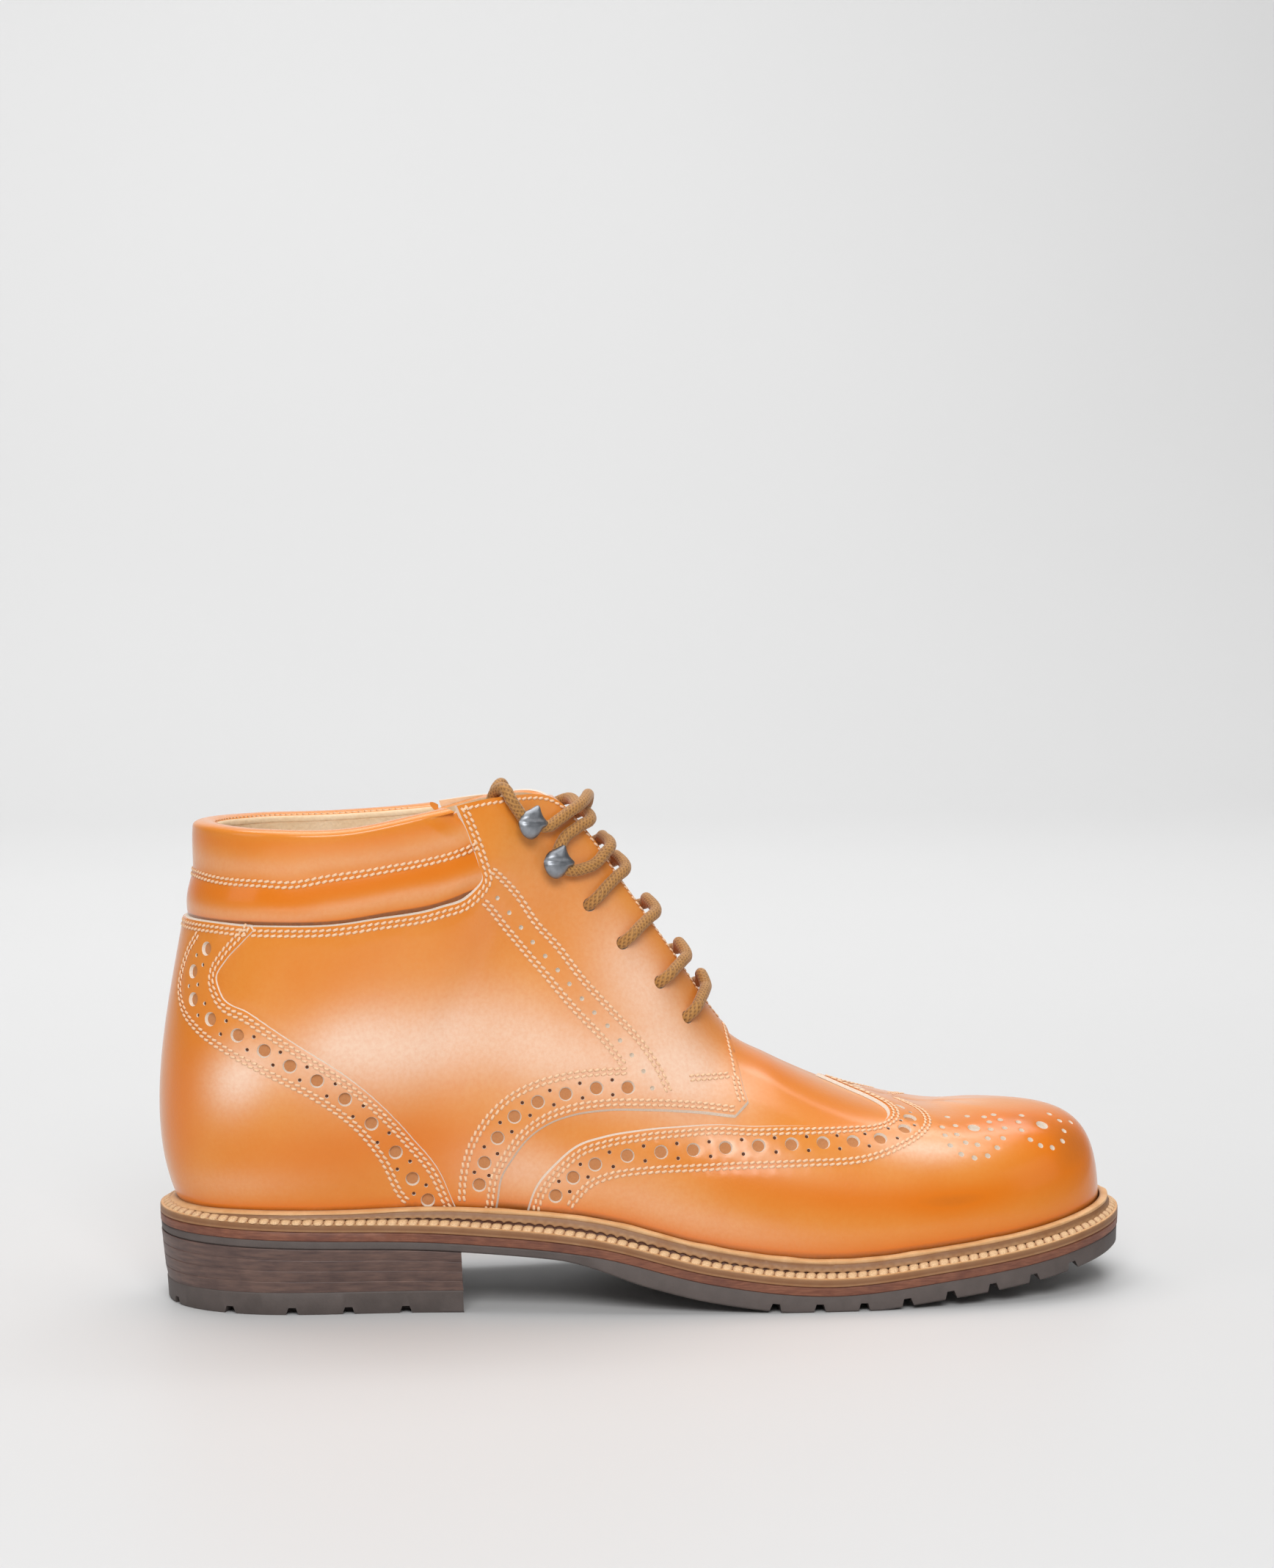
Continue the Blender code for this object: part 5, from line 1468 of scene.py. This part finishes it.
def black_rubber():
    """Moulded rubber: dark grey, dull, with a faint bloom and cut marks."""
    made, tree, shader, where = start_material("moulded rubber", roughness=0.62)
    bloom = add(tree, "TexNoise", {"Vector": where, "Scale": per_mm(6.0), "Detail": 4.0, "Roughness": 0.6})
    colour = add(tree, "Mix", {"Factor": bloom, LOW: "#4A423F", HIGH: "#645955"}, MIXED, data_type="RGBA")
    cuts = add(tree, "TexNoise", {"Vector": where, "Scale": per_mm(0.8), "Detail": 3.0, "Roughness": 0.7})
    relief = add(tree, "Bump", {"Height": cuts, "Distance": 0.12 * MM, "Strength": 0.5})
    plug(tree, shader, {"Base Color": colour, "Normal": relief})
    return made


welting = welt_leather()
midsole_edge = edge_layers("waxed midsole leather", "#6E3E2C", "#8E5A42", "#56302A", 0.5)
heel_edge = edge_layers("stacked heel leather", "#56433F", "#745A50", "#433433", 0.9)
rubber = black_rubber()
teeth_thread = waxed_thread("heavy welt thread", "#F0C898", "#8A5230")
print("sole finishes:", welting.name, midsole_edge.name, heel_edge.name, rubber.name)

# %% [markdown]
# The welt is one closed strip, so it is a section of points carried round the boot: up its outer edge, over
# its top, into the groove, up the lip and down behind it. The lip's hem arches over each stitch, and a slow
# wobble keeps it from looking machined.

# %% Welt
WELT_STATIONS = 1200
WELT_CREASE = 50.0
TOOTH_PITCH = 3.3
EDGE_INSET = 0.3
FOOT_GAP = 0.4
angle = np.linspace(-180, 180, WELT_STATIONS, endpoint=False)
edge_x, edge_y = plan(angle, EDGE_INSET, SHIFT)
edge_run = np.concatenate([[0], np.cumsum(np.hypot(np.diff(edge_x), np.diff(edge_y)))])
whole_run = edge_run[-1] + np.hypot(edge_x[0] - edge_x[-1], edge_y[0] - edge_y[-1])
teeth_count = int(whole_run / TOOTH_PITCH)
phase = np.pi * edge_run / whole_run * teeth_count
arch_over = np.abs(np.sin(phase)) ** 0.6
turn = 2 * np.pi * edge_run / whole_run
wobble = 0.4 * np.sin(31 * turn) + 0.35 * np.sin(53 * turn + 1.0) + 0.25 * np.sin(17 * turn + 2.0)
foot = under(angle, FOOT_V, -(GAP + LIP_THICK + FOOT_GAP))


def welt_row(share, rise):
    """Across the welt's top: share 0 at the outer edge, 1 at the lip's foot, raised by millimetres."""
    x = edge_x + (foot[:, 0] - edge_x) * share
    y = edge_y + (foot[:, 1] - edge_y) * share
    return np.column_stack([x, y, seat(x) + rise])


lip_top = lip_height(angle)


def lip_row(height, out):
    """Up the lip: height 0 at its foot, 1 at its top, out in millimetres from the leather."""
    return under(angle, FOOT_V + (lip_top - FOOT_V) * height, -(GAP + out))


thick = LIP_THICK + 0.2 * wobble
hem = 0.03 + 0.2 * arch_over + 0.03 * wobble
crest = 1.0 + 0.06 * wobble
welt_rows = [
    # points up the section, and how dark each one is: stain on the outer edge, painted shade in the channel,
    # under the lip and down its face
    (welt_row(0.0, -WELT), 0.9), (welt_row(0.0, 0.3 - WELT), 0.65), (welt_row(0.0, 0.9 - WELT), 0.85),
    (welt_row(0.0, -0.5), 0.75), (welt_row(0.03, -0.1), 0.4), (welt_row(0.12, 0.0), 0.0),
    (welt_row(0.3, 0.05), 0.2), (welt_row(0.6, 0.3), 0.9), (welt_row(0.92, 0.5), 1.0),
    (lip_row(hem, thick + 0.3), 1.0), (lip_row(hem + 0.04, thick + 1.05), 0.75),
    (lip_row(hem + 0.16, thick + 1.1), 0.55), (lip_row(0.56, thick + 0.6), 0.8),
    (lip_row(0.72, thick + 0.3), 0.75), (lip_row(0.82, thick + 0.55), 0.2),
    (lip_row(0.95 * crest, thick + 0.45), 0.0), (lip_row(1.03 * crest, thick - 0.4), 0.0),
    (lip_row(1.04 * crest, thick - 1.3), 0.1), (lip_row(1.0, 0.25), 0.6), (lip_row(0.6, 0.0), 0.8)]
inner_foot = under(angle, 0.0, -GAP)
inner_foot[:, 2] = seat(inner_foot[:, 0]) - WELT
welt_rows.append((inner_foot, 0.8))
welt_grid = np.stack([points for points, dark in welt_rows], 1)
index = np.arange(welt_grid.shape[0] * welt_grid.shape[1]).reshape(welt_grid.shape[:2])
index = np.vstack([index, index[:1]])
index = np.column_stack([index, index[:, :1]])
welt = add_piece(
    "welt_strip", welt_grid.reshape(-1, 3), [quads(index)], [welting], None, WELT_CREASE,
    {"edge_stain_and_shade": np.tile([dark for points, dark in welt_rows], WELT_STATIONS)})
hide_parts("welt")
print("welt perimeter", round(float(whole_run)), "mm, teeth", teeth_count)

# %% [markdown]
# The welt's heavy thread shows as a row of fat pale stitches in the groove. Each is a swollen capsule that
# leans against the lip; like the fine stitches, one template is copied to every place.

# %% Welt stitches
TOOTH_LONG, TOOTH_WIDE, TOOTH_TALL, TOOTH_TILT, TOOTH_LEAN = 3.5, 3.2, 1.2, 0.5, 0.2
TOOTH_RINGS, TOOTH_SIDES, TOOTH_CREASE = 9, 10, 60.0
TOOTH_SHARE, TOOTH_RISE = 0.56, 0.5
tooth_s = np.interp((np.arange(teeth_count) + 0.5) / teeth_count * whole_run, edge_run, angle)
tooth_x, tooth_y = plan(tooth_s, EDGE_INSET, SHIFT)
tooth_foot = under(tooth_s, FOOT_V, -(GAP + LIP_THICK + FOOT_GAP))
mid_x = tooth_x + (tooth_foot[:, 0] - tooth_x) * TOOTH_SHARE
mid_y = tooth_y + (tooth_foot[:, 1] - tooth_y) * TOOTH_SHARE
centre = np.column_stack([mid_x, mid_y, seat(mid_x) + TOOTH_RISE])
ahead_x, ahead_y = plan(tooth_s + 0.5, EDGE_INSET, SHIFT)
back_x, back_y = plan(tooth_s - 0.5, EDGE_INSET, SHIFT)
along = unit(np.column_stack([ahead_x - back_x, ahead_y - back_y, seat(ahead_x) - seat(back_x)]))
level_out = unit(np.array([0.0, 0.0, 1.0]) - along * along[:, 2:])
level_in = np.cross(level_out, along)
inward = level_in * np.cos(TOOTH_TILT) + level_out * np.sin(TOOTH_TILT)
out = level_out * np.cos(TOOTH_TILT) - level_in * np.sin(TOOTH_TILT)
ring_t = np.linspace(-1, 1, TOOTH_RINGS)
swell = np.clip(1 - (np.abs(ring_t) * 0.98) ** 2.6, 0, 1) ** 0.5
turn = np.linspace(0, 2 * np.pi, TOOTH_SIDES, endpoint=False)
wide = swell[:, None] * np.cos(turn)[None] * TOOTH_WIDE / 2
tall = swell[:, None] * np.sin(turn)[None] * TOOTH_TALL / 2
long = ring_t[:, None] * TOOTH_LONG / 2 + TOOTH_LEAN * wide
# The pale thread darkens at both ends and on the side under the lip: painted shade in the pricks and beneath
# the lip.
painted_thread_shade = np.maximum(np.abs(ring_t)[:, None] ** 4, 0.7 * np.clip(np.cos(turn)[None], 0, 1) ** 2)
teeth = add_piece(
    "welt_stitches", placed(centre, (along, inward, out), (long, wide, tall)),
    copied(tube_faces(TOOTH_RINGS, TOOTH_SIDES), teeth_count, wide.size), [teeth_thread], None, TOOTH_CREASE,
    {"painted_thread_shade": np.tile(painted_thread_shade.reshape(-1), teeth_count)})
print("welt stitches", teeth_count)

# %% [markdown]
# Under the welt lie the leather midsole and the rubber outsole. Each is the sole's outline carried through a
# few rows, drawn in a little at its upper and lower corners, where a real edge is trimmed and sanded.


# %% Sole layers
def sole_layer(name, start, rows, material, side_points=150, crease=35.0):
    """A layer of the sole: the outline carried through rows of inset and height, closed above and below."""
    angles = np.linspace(start, 180, side_points)
    rings = []
    for inset, height in rows:
        lateral = np.column_stack(plan(-angles, inset, SHIFT))
        medial = np.column_stack(plan(angles, inset, SHIFT))[::-1]
        medial = medial[1:] if start > 0 else medial[1:-1]
        ring = np.vstack([lateral, medial])
        rings.append(np.column_stack([ring, height(ring[:, 0])]))
    grid = np.stack(rings)
    levels, count = grid.shape[:2]
    index = np.arange(levels * count).reshape(levels, count)
    around = np.column_stack([index, index[:, :1]])
    faces = [quads(around)]
    for ring, turn_over in ((index[0], False), (index[-1], True)):
        lateral = ring[:side_points]
        back = ring[side_points:]
        medial = np.concatenate([back, ring[:1]])[::-1] if start <= 0 else back[::-1]
        medial = np.concatenate([medial[:side_points - 1], ring[side_points - 1:side_points]])
        strip = np.stack([lateral, medial], 1)
        four = quads(strip)
        first = 1 if start <= 0 else 0
        inner = four[first:-1]
        ends = [four[-1][[0, 1, 3]]] + ([four[0][[0, 1, 2]]] if start <= 0 else [])
        ends = np.array(ends)
        faces += [inner[:, ::-1], ends[:, ::-1]] if turn_over else [inner, ends]
    return add_piece(name, grid.reshape(-1, 3), faces, [material], None, crease)


def lowered(height, drop):
    """A height function moved down."""
    return lambda x: height(x) - drop


WAIST_X, WAIST_BLEND = -33.0, 28.0


def rubber_bottom(x):
    """Underside of the rubber: thin at the waist, thick at the forefoot, never below the floor."""
    t = np.clip((np.asarray(x) - WAIST_X) / WAIST_BLEND, 0, 1)
    thickness = RUBBER_WAIST + (RUBBER_FORE - RUBBER_WAIST) * t * t * (3 - 2 * t)
    return np.maximum(seat(x) - WELT - MIDSOLE - 2 * GAP - thickness, 0.0)


def midsole_top(x):
    """Upper face of the midsole: the welt's underside, less a hair."""
    return seat(x) - WELT - 0.02


def midsole_bottom(x):
    """Lower face of the midsole: its thickness and a glue line beneath the welt."""
    return seat(x) - WELT - MIDSOLE - GAP


midsole = sole_layer("midsole_leather", 0, [
    (0.8, midsole_bottom), (0.4, lowered(midsole_bottom, -0.3)), (0.3, lowered(midsole_top, 0.5)),
    (0.55, lowered(midsole_top, 0.15)), (0.9, midsole_top)], midsole_edge)
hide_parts("midsole")
outsole = sole_layer("outsole_rubber", 0, [
    (1.2, rubber_bottom), (0.7, lowered(rubber_bottom, -0.5)), (0.6, lowered(midsole_bottom, 0.5)),
    (0.9, lowered(midsole_bottom, 0.02))], rubber)
print("sole layers made")

# %% [markdown]
# The lugs are moulded with slots that open at the sole's edge. They are cut out of the rubber as tapering
# blocks, wider at the floor, so each slot is a real recess and the tread's profile shows from the side.


# %% Lug slots
SLOT_MOUTH, SLOT_ROOF = 1.9, 0.75


def cut_blocks(piece, blocks):
    """Cut slanted blocks out of a piece; each block is centre, half sizes, turn about z and pitch."""
    corner = np.array([(x, y, z) for x in (-1, 1) for y in (-1, 1) for z in (-1, 1)], float)
    order = np.array([(0, 1, 3, 2), (4, 6, 7, 5), (0, 4, 5, 1), (2, 3, 7, 6), (0, 2, 6, 4), (1, 5, 7, 3)])
    verts = []
    for place, half, turn, pitch in blocks:
        spin = Matrix.Rotation(turn, 3, "Z") @ Matrix.Rotation(pitch, 3, "Y")
        shape = corner * np.asarray(half)
        shape[:, 0] *= np.where(corner[:, 2] < 0, SLOT_MOUTH, SLOT_ROOF)
        verts.append(shape @ np.array(spin).T + np.asarray(place))
    mesh = bpy.data.meshes.new("cutter")
    faces = (order[None] + 8 * np.arange(len(blocks))[:, None, None]).reshape(-1, 4)
    mesh.from_pydata((np.vstack(verts) * MM).tolist(), [], faces.tolist())
    cutter = bpy.data.objects.new("cutter", mesh)
    bpy.context.scene.collection.objects.link(cutter)
    step = piece.modifiers.new("slots", "BOOLEAN")
    step.operation = "DIFFERENCE"
    step.solver = "EXACT"
    step.object = cutter
    bpy.context.view_layer.update()
    done = bpy.data.meshes.new_from_object(piece.evaluated_get(bpy.context.evaluated_depsgraph_get()))
    piece.modifiers.clear()
    piece.data = done
    done.set_sharp_from_angle(angle=np.radians(35))
    bpy.data.objects.remove(cutter)


LUG_FIRST_X, LUG_PITCH, LUG_COUNT, LUG_REACH = 34.0, 13.9, 8, 20.0
RUBBER_INSET = 0.6
blocks = []
for k in range(LUG_COUNT):
    x = LUG_FIRST_X + LUG_PITCH * k
    slope = np.arctan(float(rubber_bottom(x + 2) - rubber_bottom(x - 2)) / 4)
    for side in (-1, 1):
        turn = np.degrees(np.arccos(x / (TOE_X - RUBBER_INSET)))
        reach_y = float(plan(side * turn, RUBBER_INSET, SHIFT)[1])
        place = (x, reach_y - side * (LUG_REACH / 2 - 4), float(rubber_bottom(x)))
        blocks.append((place, (NOTCH / 2, LUG_REACH / 2, LUG_DEPTH), 0.0, -slope))
cut_blocks(outsole, blocks)
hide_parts("outsole")
print("lug slots", len(blocks))

# %% [markdown]
# The heel is a stack of leather lifts, glued and pared together and slightly smaller toward the floor, on a
# rubber top piece with notches. A shallow groove at each joint shows the lifts; it is part of the section.

# %% Heel
HEEL_LIFTS = 4
HEEL_TAPER, HEEL_INSET = 1.5, 0.62
JOINT_GROOVE, JOINT_HALF = 0.16, 0.2
HEEL_POINTS = 80
HEEL_NOTCHES = (121.0, 129.0, 138.0, 150.5, 169.0)
HEEL_NOTCH_REACH = 7
half_length = (TOE_X - HEEL_X) / 2 - RUBBER_INSET
heel_from = float(np.degrees(np.arccos(BREAST_X / half_length)))
stack_low = TOP_PIECE + 0.05


def lift_joint(share):
    """Height of a joint between lifts, a share of the way from the top piece to the sole."""
    return lambda x: stack_low + (rubber_bottom(x) - 0.05 - stack_low) * share


lift_rows = [(2.5, constant(stack_low))]
for k in range(HEEL_LIFTS):
    share = (k + 1) / HEEL_LIFTS
    joint = lift_joint(share)
    drawn_in = HEEL_INSET + HEEL_TAPER * (1 - share)
    lift_rows += [
        (drawn_in, lowered(joint, JOINT_HALF)), (drawn_in + JOINT_GROOVE, joint),
        (drawn_in, lowered(joint, -JOINT_HALF))]
lift_rows = lift_rows[:-1]
heel = sole_layer("heel_stack_leather", heel_from, lift_rows, heel_edge, HEEL_POINTS)
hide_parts("heel_stack")
top_piece = sole_layer("heel_top_rubber", heel_from, [
    (3.2, constant(0.0)), (2.7, constant(0.6)), (2.3, constant(TOP_PIECE - 0.4)), (2.6, constant(TOP_PIECE))],
    rubber, HEEL_POINTS)
blocks = []
for notch in HEEL_NOTCHES:
    for side in (-1, 1):
        xa, ya = plan(side * notch - 1, RUBBER_INSET, SHIFT)
        xb, yb = plan(side * notch + 1, RUBBER_INSET, SHIFT)
        x, y = plan(side * notch, RUBBER_INSET, SHIFT)
        half = (NOTCH / 2, HEEL_NOTCH_REACH, HEEL_NOTCH_DEPTH)
        blocks.append(((float(x), float(y), 0.0), half, float(np.arctan2(yb - ya, xb - xa)), 0.0))
cut_blocks(top_piece, blocks)
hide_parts("heel_top_piece")
print("heel lifts", HEEL_LIFTS)

# %% [markdown]
# Speed hooks. A pressed gunmetal shield, domed and rolled at its edge, stands on a short neck; the lace
# lies behind its concave side. The dome is a polar grid inside one drawn outline.

# %% Hooks
HOOK_OUTLINE = np.array([
    # forward, upward
    (-4.5, 0.2), (-4.2, -2.0), (-2.8, -3.9), (-0.6, -4.7), (1.5, -3.8), (3.0, -1.9), (5.2, -0.2), (3.7, 1.6),
    (2.9, 3.0), (2.0, 5.0), (-0.6, 3.9), (-3.2, 2.6)])


def gunmetal():
    """Blackened nickel plate on pressed steel: grey, satin, brighter where it is rubbed."""
    made, tree, shader, where = start_material("gunmetal plate", metallic=1.0)
    rub = add(tree, "TexNoise", {"Vector": where, "Scale": per_mm(1.6), "Detail": 3.0})
    colour = add(tree, "Mix", {"Factor": rub, LOW: "#74777C", HIGH: "#A9ADB3"}, MIXED, data_type="RGBA")
    dull = add(tree, "MapRange", {
        "Value": rub, "From Min": 0.2, "From Max": 0.8, "To Min": 0.34, "To Max": 0.5})
    plug(tree, shader, {"Base Color": colour, "Roughness": dull})
    return made


hook_metal = gunmetal()
closed = np.vstack([HOOK_OUTLINE[-2:], HOOK_OUTLINE, HOOK_OUTLINE[:3]])
knots = np.arange(-2, len(HOOK_OUTLINE) + 3, dtype=float)
HOOK_SIDES, HOOK_CREASE = 48, 65.0
around = np.linspace(0, len(HOOK_OUTLINE), HOOK_SIDES, endpoint=False)
outline = np.column_stack([smooth(around, knots, closed[:, k]) for k in (0, 1)])
ring_share = np.array([
    0.02, 0.15, 0.3, 0.45, 0.6, 0.74, 0.86, 0.95, 1.0, 0.97, 0.88, 0.6, 0.36, 0.36, 0.36, 0.62, 0.62, 0.02])
ring_rise = np.array([
    6.2, 6.18, 6.1, 5.98, 5.8, 5.52, 5.1, 4.6, 4.1, 3.8, 4.1, 4.6, 4.6, 2.5, 0.7, 0.6, 0.05, 0.05])
HOOK_SCALE, FOLD_DEEP, FOLD_HALF, FOLD_AT = 1.1, 0.45, 0.6, 0.2
STEM_RADIUS, STEM_RING, FACE_RINGS = 4.2, 10, 8
ring_number = np.arange(len(ring_share))
round_share = np.clip((ring_number - STEM_RING) / 2, 0, 1)[:, None, None]
turn = np.arctan2(outline[:, 1], outline[:, 0])
circle = STEM_RADIUS * np.column_stack([np.cos(turn), np.sin(turn)])
rings = HOOK_SCALE * outline[None] * (1 - round_share) + circle[None] * round_share
flat = ring_share[:, None, None] * rings
fold = FOLD_DEEP * band(flat[..., 1] - FOLD_AT, FOLD_HALF) * (ring_number < FACE_RINGS)[:, None]
for number, (hook_s, hook_v) in enumerate(HOOK_PLACES):
    for side, word in ((-1, "lateral"), (1, "medial")):
        n = skin_normal(side * hook_s, hook_v)
        fore = unit(np.array([1.0, 0, 0]) - n * n[0])
        rise = np.cross(n, fore)
        rise = rise if rise[2] > 0 else -rise
        verts = under(side * hook_s, hook_v, 0.0) + flat[..., :1] * fore + flat[..., 1:] * rise
        verts = verts + (ring_rise[:, None] - fold)[..., None] * n
        hook = add_piece(
            "speed_hook_%d_%s" % (number + 1, word), verts.reshape(-1, 3),
            tube_faces(len(ring_share), HOOK_SIDES), [hook_metal], None, HOOK_CREASE)
        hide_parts("lace_hook_%d_%s" % (number + 1, word))
print("hooks", 2 * len(HOOK_PLACES))

# %% [markdown]
# The insole is the only piece the foot rests on and little of it shows. Its solid already has its true shape,
# so it only gets a finish.

# %% Insole finish
insole_leather, tree, shader, where = start_material("vegetable tanned insole", roughness=0.7)
cloud = add(tree, "TexNoise", {"Vector": where, "Scale": per_mm(15.0), "Detail": 4.0})
colour = add(tree, "Mix", {"Factor": cloud, LOW: "#A9794A", HIGH: "#CFA878"}, MIXED, data_type="RGBA")
grain = add(tree, "TexNoise", {"Vector": where, "Scale": per_mm(0.9), "Detail": 2.0})
relief = add(tree, "Bump", {"Height": grain, "Distance": 0.1 * MM, "Strength": 0.6})
plug(tree, shader, {"Base Color": colour, "Normal": relief})
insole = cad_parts["insole"]
insole.data.materials.clear()
insole.data.materials.append(insole_leather)
print("insole finish:", insole_leather.name)

# %% [markdown]
# The studio is a pale paper sweep that curves up behind the boot, lit by large soft boxes: a key from the
# front, one overhead, weak ones from toe and heel, a low strip for the sole's edge, and one on the backdrop.

# %% Studio
SWEEP_FRONT, SWEEP_BACK, SWEEP_RADIUS, SWEEP_WIDTH, SWEEP_TOP = -3.0, 1.6, 0.9, 3.0, 3.2
bend = np.linspace(0, np.pi / 2, 24)
sweep_y = np.concatenate([
    [SWEEP_FRONT], SWEEP_BACK + SWEEP_RADIUS * np.sin(bend), [SWEEP_BACK + SWEEP_RADIUS]])
sweep_z = np.concatenate([[0.0], SWEEP_RADIUS * (1 - np.cos(bend)), [SWEEP_TOP]])
sweep = np.stack([
    np.column_stack([np.full(len(sweep_y), x), sweep_y, sweep_z]) for x in (-SWEEP_WIDTH, SWEEP_WIDTH)])
index = np.arange(2 * len(sweep_y)).reshape(2, -1)
mesh = bpy.data.meshes.new("paper sweep")
mesh.from_pydata(sweep.reshape(-1, 3).tolist(), [], quads(index).tolist())
mesh.polygons.foreach_set("use_smooth", np.ones(len(mesh.polygons), bool))
paper, tree, shader, where = start_material("satin studio paper", roughness=0.5, specular_ior_level=0.2)
cloud = add(tree, "TexNoise", {"Vector": where, "Scale": per_mm(300.0), "Detail": 1.0})
colour = add(tree, "Mix", {"Factor": cloud, LOW: "#D2D2D2", HIGH: "#D4D4D4"}, MIXED, data_type="RGBA")
plug(tree, shader, {"Base Color": colour})
mesh.materials.append(paper)
floor = bpy.data.objects.new("paper_sweep", mesh)
bpy.context.scene.collection.objects.link(floor)


def soft_light(name, place, aim, size, power):
    """A soft box, wide and tall as given, aimed at a point."""
    data = bpy.data.lights.new(name, "AREA")
    data.energy = power
    data.shape = "RECTANGLE"
    data.size, data.size_y = size
    made = bpy.data.objects.new(name, data)
    made.location = place
    made.rotation_euler = (Vector(aim) - Vector(place)).to_track_quat("-Z", "Y").to_euler()
    made.visible_camera = False
    bpy.context.scene.collection.objects.link(made)


SOFT_BOXES = [
    # name, place and aim in metres, width and height, watts
    ("key box", (-0.2, -1.7, 1.35), (0, 0, 0.05), (1.2, 0.9), 28.5),
    ("fill box", (1.7, -0.9, 1.0), (0, 0, 0.06), (1.0, 1.0), 1.5),
    ("heel box", (-1.6, -0.5, 0.8), (-0.1, 0, 0.07), (1.0, 1.0), 3),
    ("top box", (0.0, 0.6, 2.3), (0, 0.3, 0), (2.4, 2.4), 36),
    ("low strip", (0.0, -0.58, 0.01), (0.0, -0.5, 1.0), (1.5, 0.36), 1.5),
    ("backdrop box", (0.0, 0.9, 1.9), (0.0, 2.4, 0.35), (2.4, 1.0), 23)]
WORLD_STRENGTH = 0.2
for box in SOFT_BOXES:
    soft_light(*box)
bpy.context.scene.view_settings.view_transform = "Standard"
world = bpy.data.worlds.new("studio")
bpy.context.scene.world = world
world.use_nodes = True
plug(world.node_tree, world.node_tree.nodes["Background"], {"Color": "#FFFFFF", "Strength": WORLD_STRENGTH})
print("soft boxes:", len(SOFT_BOXES))
